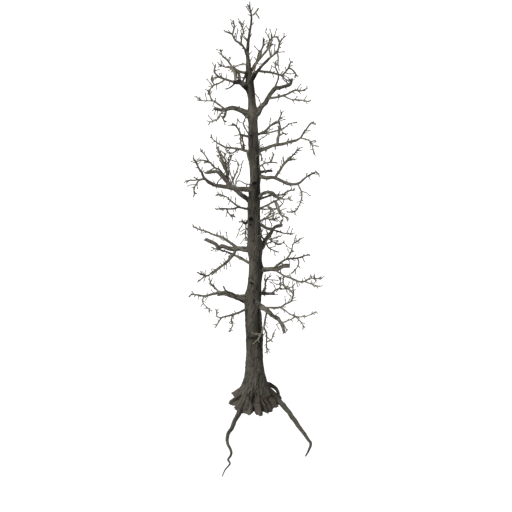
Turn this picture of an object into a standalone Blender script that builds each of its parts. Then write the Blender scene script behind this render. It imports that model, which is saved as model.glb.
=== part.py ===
"""A dead, bare conifer standing where it grew: trunk and root flare, surface roots, boughs, twigs.

Metres, +Z up. The origin is the middle of the flat cut under the trunk, at ground level.
A bearing is in degrees anticlockwise from +X, seen from above. A rise is in degrees above level.
A limb is walked leg by leg: each leg is (length, rise) or (length, rise, turn of the bearing).
"""
import math
import random
from collections import namedtuple

import bmesh
import bpy
from mathutils import Matrix, Vector
from mathutils.geometry import intersect_point_line

# ---------------------------------------------------------------- sizes
TREE_HEIGHT = 14.0
CONTACT_GAP = 0.0003
RIM_GAP = 0.0015
HAIR_EDGE = 1e-6

# The trunk: (height, radius) and the crooks of its centre line, (height, shift along +X).
TRUNK_RADII = (
    (0.0, 0.330), (2.8, 0.300), (3.8, 0.262), (5.0, 0.243), (6.4, 0.213), (7.6, 0.197), (8.5, 0.170),
    (9.7, 0.157), (10.5, 0.126), (11.7, 0.112), (12.1, 0.082), (12.5, 0.056),
    (13.0, 0.040), (13.6, 0.029), (14.0, 0.015),
)
TRUNK_CROOKS = (
    (0.0, 0.0), (2.2, -0.03), (3.8, -0.08), (5.5, 0.0), (7.6, -0.06), (8.5, 0.0), (9.8, -0.06), (11.1, -0.10),
    (11.8, -0.18), (12.6, -0.24), (13.0, -0.19), (13.4, -0.12), (13.6, -0.11), (13.8, -0.16), (14.0, -0.16),
)
TRUNK_SWAY = 0.05
TRUNK_SWAY_WAVE = 6.5
TRUNK_SIDES = 30
LOW_RING_HEIGHTS = (0.0, 0.07, 0.18, 0.35, 0.60, 0.95, 1.4, 1.9, 2.4, 2.82, 2.92)
TRUNK_RING_STEP = 0.80
TOP_RING_STEP = 0.40
TOP_STARTS = 12.4

# Slow lumps that wind up the trunk: (waves round, metres up for one wave, start in degrees, size).
TRUNK_LUMPS = ((2, 3.1, 20, 0.018), (3, -2.6, 140, 0.016), (5, 2.4, 75, 0.010))
FULL_LUMP_RADIUS = 0.28
# A torn ledge across the trunk's front. It fades over a short way above and below its line.
LEDGE_HEIGHT = 2.87
LEDGE_BEARING = 246
LEDGE_WIDTH = 34.0
LEDGE_FALL = 0.12
LEDGE_STEP = 0.024

# The root flare: plates of (bearing, reach, half width in degrees, bluntness), each fading as it rises.
FLARE_PLATES = (
    (12, 0.98, 15, 3.0), (58, 0.86, 20, 3.5), (105, 0.88, 20, 3.0), (152, 1.06, 15, 1.1),
    (187, 1.05, 17, 1.3), (215, 0.86, 15, 4.0), (247, 0.93, 16, 4.5), (279, 0.97, 11, 4.5),
    (309, 0.95, 17, 5.0), (336, 0.93, 13, 4.0),
)
FLARE_VALLEY = 0.68
FLARE_FALL = 0.46
# Ridges down the flare, the first two into the long roots: (bearing at the ground, at the top, top, rise).
RIDGES = (
    (235, 262, 1.10, 0.080), (343, 318, 1.15, 0.080), (271, 273, 1.10, 0.045), (300, 288, 0.90, 0.045),
    (186, 215, 1.00, 0.050), (152, 160, 0.90, 0.040), (105, 112, 1.00, 0.050), (60, 66, 0.95, 0.050),
    (18, 36, 1.00, 0.045),
)
RIDGE_WIDTH = 6.5

BOUGH_SIDES = 7
STEM_SIDES = 3
THICK_STEM = 0.033
THICK_STEM_SIDES = 6
TWIG_SIDES = 3
RING_STEP = 0.30
COLLAR_SWELL = 0.35
COLLAR_LENGTH = 0.12
COLLAR_STARTS = 2.0
BOUGH_KINK = 0.014
STEM_KINK = 0.016

# The twig rule, the same for every mass.
TWIG_SPACING = 0.36
TWIG_SPREAD = (0.6, 1.4)
TWIG_REACH = (0.10, 0.26)
TWIG_SHORTENING = 0.35
TWIG_LEAN = (0.3, 0.9)
TWIG_TURN = 0.5
TWIG_UPTURN = (-0.1, 0.5)
TWIG_BEND_AT = 0.55
TWIG_FOOT = 0.013
TWIG_TIP = 0.008
TWIG_CLEARANCE = 0.012
CHECKED_PARTS = (0.25, 0.5, 0.75, 1.0)
FIRST_TWIG = (0.3, 1.0)
BARE_FOOT = 0.12
SIDE_FOOT = 0.028
SIDE_TIP = 0.017
STEM_TIP = 0.021
STEM_SINK = 0.5

Bough = namedtuple("Bough", "name height bearing foot tip legs")
Mass = namedtuple("Mass", "name carrier at bearing foot tip legs sides")
Side = namedtuple("Side", "on at bearing legs")

# Boughs grow from the trunk's axis at their height. foot and tip are radii.
BOUGHS = (
    Bough("bough_left_38", 3.97, 150, 0.055, 0.046, ((0.60, 12), (0.62, 4), (0.30, -19))),
    Bough("bough_left_44", 4.36, 190, 0.100, 0.080, ((0.55, 5), (0.50, 27))),
    Bough("bough_left_62", 6.15, 172, 0.092, 0.058,
          ((0.52, -3), (0.27, -3), (0.33, 11), (0.14, -20), (0.18, 48), (0.37, 23))),
    Bough("bough_left_78", 7.75, 150, 0.084, 0.048,
          ((0.58, 25), (0.35, 30), (0.27, 33), (0.25, 42), (0.23, 27), (0.29, -14), (0.15, -10))),
    Bough("bough_left_82", 8.23, 215, 0.084, 0.054,
          ((0.61, 12), (0.33, 14), (0.34, 20), (0.33, 18), (0.30, 37))),
    Bough("bough_left_106", 10.60, 185, 0.092, 0.062,
          ((0.16, 36), (0.17, 34), (0.14, 24), (0.25, 11), (0.19, -10))),
    Bough("bough_left_114", 11.42, 200, 0.092, 0.060, ((0.20, 42), (0.13, 40), (0.11, 32), (0.22, 6))),
    Bough("bough_right_116", 11.65, 318, 0.058, 0.036, ((0.16, 52), (0.35, 51), (0.33, 44), (0.31, 40))),
    Bough("bough_right_106", 10.62, 350, 0.092, 0.045,
          ((0.16, 43), (0.28, 52), (0.16, 45), (0.16, 61), (0.35, 54), (0.15, 17), (0.28, 20), (0.10, 40),
           (0.14, 84))),
    Bough("bough_right_95", 9.47, 10, 0.060, 0.040, ((0.40, 15), (0.27, 19), (0.52, 10), (0.23, 11))),
    Bough("bough_right_88", 8.77, 50, 0.045, 0.042, ((0.45, -4), (0.42, -12))),
    Bough("bough_right_87", 8.70, 348, 0.068, 0.046,
          ((0.37, -9), (0.26, 2), (0.29, -22), (0.24, -17), (0.25, 6))),
    Bough("bough_right_79", 7.89, 332, 0.046, 0.036,
          ((0.28, 30), (0.16, 45), (0.27, 18), (0.12, -25), (0.10, -62), (0.17, -7))),
    Bough("bough_right_60", 6.04, 40, 0.084, 0.060,
          ((0.30, 17), (0.24, 49), (0.33, 43), (0.13, 50), (0.17, 23), (0.26, 0))),
    Bough("bough_right_54", 5.36, 345, 0.084, 0.066, ((0.64, 12), (0.14, 4), (0.25, 32), (0.22, 12))),
    Bough("bough_front_44", 4.37, 285, 0.108, 0.072, ((0.45, -5), (0.49, -14, 30), (0.29, -23), (0.27, 0))),
)

# A mass grows from one stem, at a fraction of its carrier's length (1 is the tip) or a height on the trunk.
# A side leaves axis number on (0 is the stem, then the sides in order) at a fraction of its length.
MASSES = (
    Mass("twigs_left_44", "bough_left_44", 1.0, 190, 0.056, STEM_TIP,
         ((0.28, 0), (0.25, -10), (0.23, -10), (0.40, 11), (0.15, -25)),
         (Side(0, 0.16, 175, ((0.22, 45), (0.25, 55), (0.12, 72))),
          Side(0, 0.58, 190, ((0.20, -72), (0.15, -108), (0.32, -132))))),
    Mass("twigs_left_39", "trunk", 3.87, 205, 0.052, STEM_TIP,
         ((0.31, 6), (0.24, -17), (0.20, -6), (0.39, 3), (0.08, -20), (0.21, -57), (0.17, -54)),
         (Side(0, 0.50, 215, ((0.25, -75), (0.18, -105), (0.25, -65))),
          Side(0, 0.76, 195, ((0.10, 10), (0.12, 50), (0.22, 88))))),
    Mass("twigs_left_62_up", "bough_left_62", 0.32, 135, 0.044, STEM_TIP,
         ((0.30, 17), (0.29, 7), (0.21, 16), (0.40, -2), (0.40, 2), (0.36, -7), (0.40, 1)), ()),
    Mass("twigs_left_62_down", "bough_left_62", 0.34, 215, 0.044, STEM_TIP,
         ((0.31, -46), (0.27, -39), (0.26, -20), (0.36, -22), (0.25, -16), (0.40, 35)),
         (Side(0, 0.80, 215, ((0.30, -26),)),)),
    Mass("twigs_left_55", "trunk", 5.54, 150, 0.050, STEM_TIP,
         ((0.26, 7), (0.24, 24), (0.09, 18), (0.16, 7, 5), (0.32, 18), (0.30, 4), (0.28, 4), (0.09, 26)), ()),
    Mass("twigs_left_70", "trunk", 7.04, 130, 0.055, 0.042, ((0.26, 0), (0.24, -33), (0.18, 12)),
         (Side(0, 0.70, 130, ((0.27, -88), (0.14, -80), (0.24, -105))),)),
    Mass("twigs_left_75", "trunk", 7.50, 225, 0.040, STEM_TIP, ((0.70, 23), (0.37, 8), (0.38, 16), (0.26, 7)),
         (Side(0, 0.40, 215, ((0.25, 38), (0.34, 45), (0.09, 52), (0.26, 23), (0.14, 22))),
          Side(0, 0.76, 225, ((0.20, -118), (0.14, -134), (0.18, -157))))),
    Mass("twigs_left_78_out", "bough_left_78", 0.44, 190, 0.042, STEM_TIP,
         ((0.45, 60), (0.30, 48), (0.15, 30), (0.27, 47), (0.25, 15), (0.08, 0)),
         (Side(0, 0.05, 20, ((0.23, 60), (0.24, 66), (0.24, 76), (0.10, 105))),
          Side(0, 0.60, 190, ((0.30, -28),)),
          Side(0, 0.78, 185, ((0.22, 63), (0.22, 54))))),
    Mass("twigs_left_78_up", "bough_left_78", 0.52, 145, 0.036, STEM_TIP,
         ((0.36, 80), (0.46, 64), (0.40, 72)),
         (Side(0, 0.08, 150, ((0.40, 80), (0.38, 66), (0.38, 56))),
          Side(0, 0.16, 80, ((0.15, 30), (0.36, 80), (0.21, 88))),
          Side(0, 0.22, 120, ((0.25, 80), (0.30, 72), (0.20, 86))),
          Side(3, 0.45, 30, ((0.22, 48), (0.16, 66))))),
    Mass("twigs_left_82", "bough_left_82", 1.0, 215, 0.046, STEM_TIP,
         ((0.20, 50), (0.21, 62), (0.15, 58), (0.22, 68), (0.19, 58)),
         (Side(0, 0.12, 215, ((0.20, 3), (0.11, -39), (0.09, -42), (0.12, -55), (0.24, -90))),
          Side(0, 0.16, 205, ((0.31, -4), (0.19, 9), (0.10, -10))))),
    Mass("twigs_left_95", "trunk", 9.50, 140, 0.050, 0.018,
         ((0.58, -5), (0.33, 0), (0.29, -6), (0.25, 12), (0.24, 18), (0.19, 27), (0.05, 12)),
         (Side(0, 0.34, 145, ((0.25, -38), (0.24, -12), (0.15, 50))),)),
    Mass("twigs_left_100", "trunk", 9.97, 218, 0.044, STEM_TIP,
         ((0.46, 17), (0.06, 35), (0.18, 55), (0.22, 56), (0.11, 26)),
         (Side(0, 0.42, 230, ((0.13, -85), (0.24, -108), (0.08, -100))),
          Side(0, 0.50, 215, ((0.18, -88), (0.13, -90), (0.14, -112))))),
    Mass("twigs_left_106", "bough_left_106", 1.0, 185, 0.058, 0.052, ((0.16, -8), (0.22, 14)),
         (Side(0, 0.10, 170, ((0.19, 35), (0.21, 28), (0.10, 23), (0.31, -3), (0.11, 27), (0.12, 50))),
          Side(0, 0.12, 205, ((0.20, -38), (0.17, -58), (0.16, -15), (0.14, -13))),
          Side(0, 0.05, 225, ((0.14, -75), (0.17, -62), (0.11, -120))),
          Side(1, 0.48, 175, ((0.20, 75), (0.14, 62))))),
    Mass("twigs_left_114", "bough_left_114", 1.0, 198, 0.042, STEM_TIP,
         ((0.24, 18), (0.22, 20), (0.11, 45), (0.15, 53), (0.17, 103)),
         (Side(0, 0.32, 205, ((0.24, -27), (0.17, -12), (0.16, -38), (0.09, -62))),
          Side(1, 0.60, 200, ((0.16, 60), (0.10, 92))),
          Side(0, 0.52, 190, ((0.17, -5), (0.11, -60))))),
    Mass("twigs_left_114_up", "bough_left_114", 0.66, 130, 0.042, STEM_TIP,
         ((0.21, 77), (0.15, 62), (0.13, 11), (0.22, 17), (0.24, 45), (0.23, 14), (0.12, 45), (0.14, 80)),
         (Side(0, 0.05, 190, ((0.13, 45), (0.15, 85), (0.18, 38), (0.19, 15), (0.23, 21))),)),
    Mass("twigs_top_left", "trunk", 12.42, 190, 0.042, STEM_TIP,
         ((0.10, 60), (0.15, 73), (0.14, 57), (0.09, 38), (0.18, 41), (0.17, 58), (0.15, 28), (0.06, 14)),
         (Side(0, 0.42, 350, ((0.26, 82), (0.08, 47), (0.18, 103), (0.17, 112))),
          Side(0, 0.78, 10, ((0.21, 78), (0.09, 80), (0.08, 105))))),
    Mass("twigs_top", "trunk", 13.56, 340, 0.024, 0.016, ((0.17, 48), (0.11, 45)),
         (Side(0, 0.62, 340, ((0.17, -52),)),)),
    Mass("twigs_right_119", "trunk", 11.90, 50, 0.042, STEM_TIP,
         ((0.10, 43), (0.23, 43), (0.16, 45), (0.29, 66), (0.20, 31), (0.16, 81), (0.12, 75)),
         (Side(0, 0.36, 40, ((0.15, 31), (0.20, 39), (0.20, 39), (0.18, 70), (0.17, 54), (0.19, 36))),)),
    Mass("twigs_right_116", "bough_right_116", 1.0, 320, 0.034, STEM_TIP,
         ((0.36, 40), (0.28, 66), (0.21, 49)),
         (Side(0, 0.06, 350, ((0.20, 100), (0.16, 72))),
          Side(0, 0.38, 320, ((0.15, -60), (0.25, -97))),
          Side(0, 0.75, 320, ((0.13, 130),)))),
    Mass("twigs_right_116_low", "bough_right_116", 0.45, 355, 0.038, STEM_TIP,
         ((0.24, -5), (0.22, -13), (0.22, -16), (0.11, 30), (0.22, 42), (0.19, 67), (0.06, 14)),
         (Side(0, 0.80, 345, ((0.13, -20), (0.23, -50))),
          Side(0, 0.50, 355, ((0.24, 110), (0.15, 97))))),
    Mass("twigs_right_106", "bough_right_106", 0.42, 320, 0.042, STEM_TIP,
         ((0.39, 15), (0.21, 20), (0.26, 22), (0.23, 28), (0.28, 6), (0.18, 24)),
         (Side(0, 0.38, 335, ((0.25, -18), (0.11, -15), (0.28, 3), (0.24, -5))),)),
    Mass("twigs_right_100", "trunk", 10.00, 45, 0.040, STEM_TIP,
         ((0.41, 6), (0.28, 19), (0.13, 34), (0.29, 6), (0.20, 48), (0.21, 58)),
         (Side(0, 0.18, 325, ((0.31, 13), (0.32, 18), (0.29, 24), (0.29, 37), (0.25, 20))),)),
    Mass("twigs_right_95", "bough_right_95", 1.0, 15, 0.036, STEM_TIP,
         ((0.17, 28), (0.17, 60), (0.15, 48), (0.22, 59), (0.14, 17)),
         (Side(0, 0.18, 350, ((0.28, -14), (0.22, -53), (0.25, -77))),
          Side(1, 0.45, 345, ((0.18, 15),)))),
    Mass("twigs_right_95_up", "bough_right_95", 0.56, 25, 0.030, STEM_TIP,
         ((0.23, 80), (0.28, 80), (0.21, 98)),
         (Side(0, 0.40, 10, ((0.16, 25), (0.10, -15))),)),
    Mass("twigs_right_89", "trunk", 8.90, 322, 0.032, STEM_TIP,
         ((0.49, 34), (0.25, 25), (0.22, 63), (0.08, 90)),
         (Side(0, 0.62, 340, ((0.26, 5),)),
          Side(0, 0.35, 322, ((0.25, -50),)))),
    Mass("twigs_right_87", "bough_right_87", 1.0, 345, 0.040, STEM_TIP,
         ((0.15, 36), (0.30, 39), (0.24, 33), (0.10, 30), (0.11, -40)),
         (Side(0, 0.05, 330,
               ((0.27, -56), (0.14, -80), (0.23, -105), (0.27, -108), (0.20, -130), (0.25, -170))),)),
    Mass("twigs_right_87_up", "bough_right_87", 0.46, 45, 0.038, STEM_TIP,
         ((0.30, 41), (0.22, 43), (0.30, 24), (0.25, 27), (0.35, 32)),
         (Side(0, 0.40, 45, ((0.25, 108),)),
          Side(0, 0.55, 45, ((0.30, -6),)))),
    Mass("twigs_right_78", "trunk", 7.77, 45, 0.042, STEM_TIP,
         ((0.30, 6), (0.35, 2), (0.32, -3), (0.43, -14), (0.28, 12), (0.30, -3)), ()),
    Mass("twigs_right_75", "trunk", 7.46, 325, 0.040, STEM_TIP,
         ((0.25, 29), (0.31, 33), (0.33, 32), (0.35, 36), (0.25, 39)),
         (Side(0, 0.80, 335, ((0.25, 12), (0.12, 8))),
          Side(0, 0.46, 345, ((0.30, -70), (0.20, -135))),
          Side(0, 0.66, 340, ((0.26, -70), (0.20, -58), (0.17, -55), (0.22, -110))))),
    Mass("twigs_right_71", "trunk", 7.08, 316, 0.032, STEM_TIP,
         ((0.41, 25), (0.19, 40), (0.29, 3), (0.24, 30), (0.14, 28)), ()),
    Mass("twigs_right_70", "trunk", 7.07, 22, 0.044, STEM_TIP,
         ((0.21, -18), (0.25, -38), (0.21, -29), (0.27, -20), (0.29, -28), (0.34, -13)), ()),
    Mass("twigs_right_60", "bough_right_60", 0.40, 350, 0.026, STEM_TIP,
         ((0.28, -68), (0.19, -22), (0.12, -26)),
         (Side(0, 0.20, 10, ((0.22, 10), (0.20, -22), (0.20, 8))),)),
    Mass("twigs_right_54_up", "bough_right_54", 0.50, 35, 0.044, STEM_TIP,
         ((0.31, 30), (0.29, 11), (0.51, -10), (0.29, 7), (0.24, -4)),
         (Side(0, 0.36, 45, ((0.24, 38), (0.22, 51), (0.13, 78), (0.17, 18), (0.28, 11))),
          Side(0, 0.68, 20, ((0.21, -70), (0.22, -118), (0.20, -134))))),
    Mass("twigs_right_54_low", "bough_right_54", 0.55, 322, 0.040, STEM_TIP,
         ((0.39, -18), (0.33, -4), (0.28, -3), (0.25, 12), (0.26, 40), (0.46, 16)),
         (Side(0, 0.64, 320, ((0.25, -4), (0.34, 3))),
          Side(0, 0.20, 325, ((0.30, -87), (0.39, -30))))),
    Mass("twigs_right_44", "trunk", 4.45, 25, 0.060, 0.052, ((0.40, -9), (0.40, -13)),
         (Side(0, 0.80, 25, ((0.30, 26), (0.11, 30), (0.38, 86))),
          Side(1, 0.45, 15, ((0.20, -20), (0.15, 5))))),
    Mass("twigs_front_44", "bough_front_44", 1.0, 315, 0.062, 0.048, ((0.21, -45), (0.30, -61)),
         (Side(0, 0.15, 330, ((0.12, -10), (0.30, 30), (0.27, 41))),
          Side(1, 0.15, 330, ((0.33, -56),)))),
    Mass("twigs_front_44_right", "bough_front_44", 0.50, 338, 0.042, STEM_TIP,
         ((0.46, 12), (0.21, 14), (0.19, 48), (0.24, 37), (0.20, 67), (0.15, 76), (0.28, 104)),
         (Side(0, 0.38, 340, ((0.14, -23), (0.20, -40), (0.19, -15), (0.26, 0), (0.33, 24), (0.24, 39))),
          Side(1, 0.42, 340, ((0.27, -45), (0.23, -55))))),
    Mass("twigs_front_44_hang", "bough_front_44", 0.62, 200, 0.036, STEM_TIP,
         ((0.31, -78), (0.31, -83), (0.29, -107), (0.40, -92), (0.40, -93)),
         (Side(0, 0.72, 350, ((0.20, 35), (0.30, 72))),
          Side(0, 0.32, 230, ((0.30, -55), (0.25, -45))))),
    Mass("twigs_back_52", "trunk", 5.20, 98, 0.060, STEM_TIP,
         ((0.60, 6), (0.45, 18), (0.40, 10), (0.35, 30), (0.30, 12)),
         (Side(0, 0.45, 110, ((0.25, 50), (0.25, 65))),
          Side(0, 0.60, 82, ((0.30, -35), (0.30, -55))))),
    Mass("twigs_back_90", "trunk", 9.00, 84, 0.050, STEM_TIP, ((0.50, 12), (0.40, 2), (0.35, 20), (0.35, 35)),
         (Side(0, 0.50, 100, ((0.25, 45), (0.25, 60))),
          Side(0, 0.66, 70, ((0.30, -30), (0.25, -60))))),
)

# Surface roots lie on the ground, legs of (length, turn). A higher fullness keeps a root thick for longer.
Root = namedtuple("Root", "name start bearing foot tip fullness legs")
ROOTS = (
    Root("root_left", (-0.32, -0.35), 234, 0.108, 0.016, 0.9,
         ((0.40, 0), (0.85, 20), (0.60, 0), (0.48, 19), (0.40, 17), (0.38, -34), (0.22, 28), (0.30, -42),
          (0.34, 14))),
    Root("root_right", (0.40, 0.00), 345, 0.100, 0.022, 2.2,
         ((0.48, 0), (0.60, -45), (0.60, -8), (1.00, -1), (0.32, 0), (0.32, -29), (0.42, -15))),
)
ROOT_STEP = 0.21
# A root stands this many radii high, and higher where it comes down over the flare.
ROOT_HEIGHT = 1.3
ROOT_SHOULDER = 3.0
SHOULDER_LENGTH = 0.42
ROOT_ARCH_SIDES = 6
ROOT_ARC_POINTS = 6
# The small arched root behind on the right: its foot, crown and landing.
ARCH_POINTS = (
    (0.18, 0.22, 0.60), (0.42, 0.33, 0.50), (0.61, 0.36, 0.42), (0.78, 0.33, 0.29), (0.86, 0.26, 0.12),
    (0.87, 0.17, 0.02),
)
ARCH_FOOT = 0.115
ARCH_TIP = 0.046

# name: (colour, roughness)
BARKS = {
    "trunk_bark": ((0.085, 0.078, 0.058), 0.92),
    "bough_bark": ((0.125, 0.115, 0.088), 0.90),
    "twig_bark": ((0.150, 0.140, 0.100), 0.88),
    "root_bark": ((0.110, 0.095, 0.062), 0.92),
}


# ---------------------------------------------------------------- lines through space
def between(stations, height):
    """The value at a height, read from a row of (height, value) stations."""
    for (low, first), (high, second) in zip(stations, stations[1:]):
        if height <= high:
            return first + (second - first) * (height - low) / (high - low)
    return stations[-1][1]


def trunk_centre(height):
    """The trunk's centre line: its crooks sideways and a slow sway to the front and back."""
    sway = TRUNK_SWAY * math.sin(2 * math.pi * height / TRUNK_SWAY_WAVE)
    return Vector((between(TRUNK_CROOKS, height), sway, height))


def heading(bearing, rise):
    """A unit vector from a bearing and a rise in degrees."""
    across = math.radians(bearing)
    up = math.radians(rise)
    return Vector((math.cos(up) * math.cos(across), math.cos(up) * math.sin(across), math.sin(up)))


def walk(start, bearing, legs):
    """The corners of a limb walked leg by leg."""
    corners = [start.copy()]
    for leg in legs:
        bearing += leg[2] if len(leg) == 3 else 0
        corners.append(corners[-1] + heading(bearing, leg[1]) * leg[0])
    return corners


def smooth(corners, step):
    """Points on a smooth curve through the corners, about one every step."""
    before = [corners[0] * 2 - corners[1]] + corners[:-2]
    after = corners[2:] + [corners[-1] * 2 - corners[-2]]
    points = [corners[0]]
    for first, start, end, last in zip(before, corners, corners[1:], after):
        count = max(1, round((end - start).length / step))
        for index in range(1, count + 1):
            t = index / count
            out = (end - first) / 2
            into = (last - start) / 2
            points.append(start * (2 * t ** 3 - 3 * t ** 2 + 1) + end * (3 * t ** 2 - 2 * t ** 3)
                          + out * (t ** 3 - 2 * t ** 2 + t) + into * (t ** 3 - t ** 2))
    return points


def kinked(points, amount, dice):
    """The same line with its inner points moved a little, as on slow-grown wood."""
    moved = [points[0]]
    for point in points[1:-1]:
        moved.append(point + Vector([dice.uniform(-amount, amount) for _ in range(3)]))
    return moved + [points[-1]]


def distances(points):
    """How far along the line each point lies."""
    along = [0.0]
    for start, end in zip(points, points[1:]):
        along.append(along[-1] + (end - start).length)
    return along


def point_along(points, fraction):
    """The point and the direction at a fraction of the line's length."""
    along = distances(points)
    target = fraction * along[-1]
    for index in range(len(points) - 1):
        if target <= along[index + 1] or index == len(points) - 2:
            run = points[index + 1] - points[index]
            return points[index] + run.normalized() * (target - along[index]), run.normalized()


def taper(points, foot, tip):
    """The radius at each point, from the foot's to the tip's."""
    along = distances(points)
    return [foot + (tip - foot) * reach / along[-1] for reach in along]


# ---------------------------------------------------------------- solids
def bark(name):
    """The material of one kind of bark."""
    material = bpy.data.materials.get(name)
    if material is None:
        colour, roughness = BARKS[name]
        material = bpy.data.materials.new(name)
        material.use_nodes = True
        shader = material.node_tree.nodes["Principled BSDF"]
        shader.inputs["Base Color"].default_value = (*colour, 1.0)
        shader.inputs["Roughness"].default_value = roughness
        shader.inputs["Metallic"].default_value = 0.0
        material.diffuse_color = (*colour, 1.0)
    return material


def loft(name, rings, material):
    """A closed solid from rings of points, each ring anticlockwise about the way it is followed."""
    mesh = bmesh.new()
    rows = [[mesh.verts.new(point) for point in ring] for ring in rings]
    for low, high in zip(rows, rows[1:]):
        for index in range(len(low)):
            after = (index + 1) % len(low)
            mesh.faces.new((low[index], low[after], high[after], high[index]))
    mesh.faces.new(list(reversed(rows[0])))
    mesh.faces.new(rows[-1])
    bmesh.ops.triangulate(mesh, faces=[face for face in mesh.faces if len(face.verts) == 4])
    data = bpy.data.meshes.new(name)
    mesh.to_mesh(data)
    mesh.free()
    data.materials.append(bark(material))
    solid = bpy.data.objects.new(name, data)
    bpy.context.scene.collection.objects.link(solid)
    return solid


def tube(name, points, radii, sides, material):
    """A round limb along a line, its rings kept from twisting."""
    rings = []
    across = None
    for index, (point, radius) in enumerate(zip(points, radii)):
        way = (points[min(index + 1, len(points) - 1)] - points[max(index - 1, 0)]).normalized()
        if across is None:
            across = way.orthogonal().normalized()
        across = (across - way * across.dot(way)).normalized()
        other = way.cross(across)
        angles = [2 * math.pi * side / sides for side in range(sides)]
        rings.append([point + (across * math.cos(a) + other * math.sin(a)) * radius for a in angles])
    return loft(name, rings, material)


def apply_modifiers(solid):
    """Put a solid's evaluated shape in place of its own mesh."""
    evaluated = solid.evaluated_get(bpy.context.evaluated_depsgraph_get())
    data = bpy.data.meshes.new_from_object(evaluated)
    solid.modifiers.clear()
    solid.data = data


def remove(solids):
    """Take helper objects out of the file."""
    for solid in solids:
        bpy.data.objects.remove(solid, do_unlink=True)


def keep_largest(solid):
    """Drop loose scraps and the walls of sealed hollows, and close up hair-thin edges."""
    mesh = bmesh.new()
    mesh.from_mesh(solid.data)
    bmesh.ops.dissolve_degenerate(mesh, edges=mesh.edges, dist=HAIR_EDGE)
    unseen = set(mesh.verts)
    islands = []
    while unseen:
        front = [unseen.pop()]
        island = set(front)
        while front:
            for edge in front.pop().link_edges:
                for vert in edge.verts:
                    if vert in unseen:
                        unseen.discard(vert)
                        island.add(vert)
                        front.append(vert)
        islands.append(island)
    largest = max(islands, key=len)
    bmesh.ops.delete(mesh, geom=[vert for vert in mesh.verts if vert not in largest], context="VERTS")
    mesh.to_mesh(solid.data)
    mesh.free()


def swollen(solid):
    """A copy of a solid, grown by the contact gap: the shape that cuts what it carries."""
    cutter = bpy.data.objects.new(solid.name + "_cutter", solid.data.copy())
    bpy.context.scene.collection.objects.link(cutter)
    cutter.hide_render = True
    cutter.display_type = "WIRE"
    normals = [vertex.normal.copy() for vertex in cutter.data.vertices]
    for vertex, normal in zip(cutter.data.vertices, normals):
        vertex.co += normal * CONTACT_GAP
        if vertex.co.z < CONTACT_GAP:
            vertex.co += Vector((normal.x, normal.y, 0.0)) * RIM_GAP
            vertex.co.z = -CONTACT_GAP
    return cutter


def cut_clear(solid, cutter):
    """Cut a limb off where it meets what carries it, one contact gap clear."""
    cut = solid.modifiers.new("seat", "BOOLEAN")
    cut.operation = "DIFFERENCE"
    cut.object = cutter
    apply_modifiers(solid)
    keep_largest(solid)


def fuse(solid, pieces):
    """Join the pieces to a solid by one union over their collection, then remove them."""
    if not pieces:
        return
    gathered = bpy.data.collections.new(solid.name + "_pieces")
    bpy.context.scene.collection.children.link(gathered)
    for piece in pieces:
        bpy.context.scene.collection.objects.unlink(piece)
        gathered.objects.link(piece)
    union = solid.modifiers.new("fuse", "BOOLEAN")
    union.operation = "UNION"
    union.operand_type = "COLLECTION"
    union.collection = gathered
    apply_modifiers(solid)
    remove(pieces)
    bpy.data.collections.remove(gathered)
    keep_largest(solid)


# ---------------------------------------------------------------- trunk and roots
def turn_between(bearing, other):
    """The smallest turn from one bearing to the other, in degrees."""
    return (other - bearing + 180.0) % 360.0 - 180.0


def flare_reach(bearing):
    """How far the flare's plates reach over the ground on a bearing."""
    reach = FLARE_VALLEY
    for middle, plate_reach, width, bluntness in FLARE_PLATES:
        aside = abs(turn_between(bearing, middle)) / width
        reach = max(reach, FLARE_VALLEY + (plate_reach - FLARE_VALLEY) * math.exp(-aside ** bluntness))
    return reach


def trunk_lumps(height, bearing, radius):
    """The slow lumps on the trunk's side."""
    rise = 0.0
    for waves, wave, start, size in TRUNK_LUMPS:
        rise += size * math.sin(math.radians(waves * bearing + 360.0 * height / wave + start))
    return rise * min(1.0, radius / FULL_LUMP_RADIUS)


def flare_ridges(height, bearing):
    """The ridges that run down the flare."""
    rise = 0.0
    for foot_bearing, top_bearing, top, size in RIDGES:
        if height < top:
            part = height / top
            middle = foot_bearing + (top_bearing - foot_bearing) * part
            aside = turn_between(bearing, middle) / RIDGE_WIDTH
            rise += size * math.exp(-aside ** 2) * math.sin(math.pi * math.sqrt(part))
    return rise


def ledge(height, bearing):
    """The torn ledge: a step out above its line and a step in below it."""
    front = math.exp(-(turn_between(bearing, LEDGE_BEARING) / LEDGE_WIDTH) ** 4)
    over = height - LEDGE_HEIGHT
    return math.copysign(LEDGE_STEP, over) * front * math.exp(-abs(over) / LEDGE_FALL)


def trunk_reach(height, bearing):
    """How far the trunk's side is from its centre line."""
    radius = between(TRUNK_RADII, height)
    flare = max(0.0, flare_reach(bearing) - radius) * math.exp(-height / FLARE_FALL)
    return (radius + flare + trunk_lumps(height, bearing, radius) + flare_ridges(height, bearing)
            + ledge(height, bearing))


def trunk_heights():
    """The heights of the trunk's rings, close together in the flare, at the ledge and at the top."""
    heights = list(LOW_RING_HEIGHTS)
    while heights[-1] + TRUNK_RING_STEP < TOP_STARTS:
        heights.append(heights[-1] + TRUNK_RING_STEP)
    while heights[-1] + TOP_RING_STEP < TREE_HEIGHT:
        heights.append(heights[-1] + TOP_RING_STEP)
    return heights + [TREE_HEIGHT]


def build_trunk():
    """The trunk, from its flat cut at the ground through its flare to its tip."""
    rings = []
    for height in trunk_heights():
        ring = []
        for side in range(TRUNK_SIDES):
            bearing = 360.0 * side / TRUNK_SIDES
            ring.append(trunk_centre(height) + heading(bearing, 0) * trunk_reach(height, bearing))
        rings.append(ring)
    return loft("trunk", rings, "trunk_bark")


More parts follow.
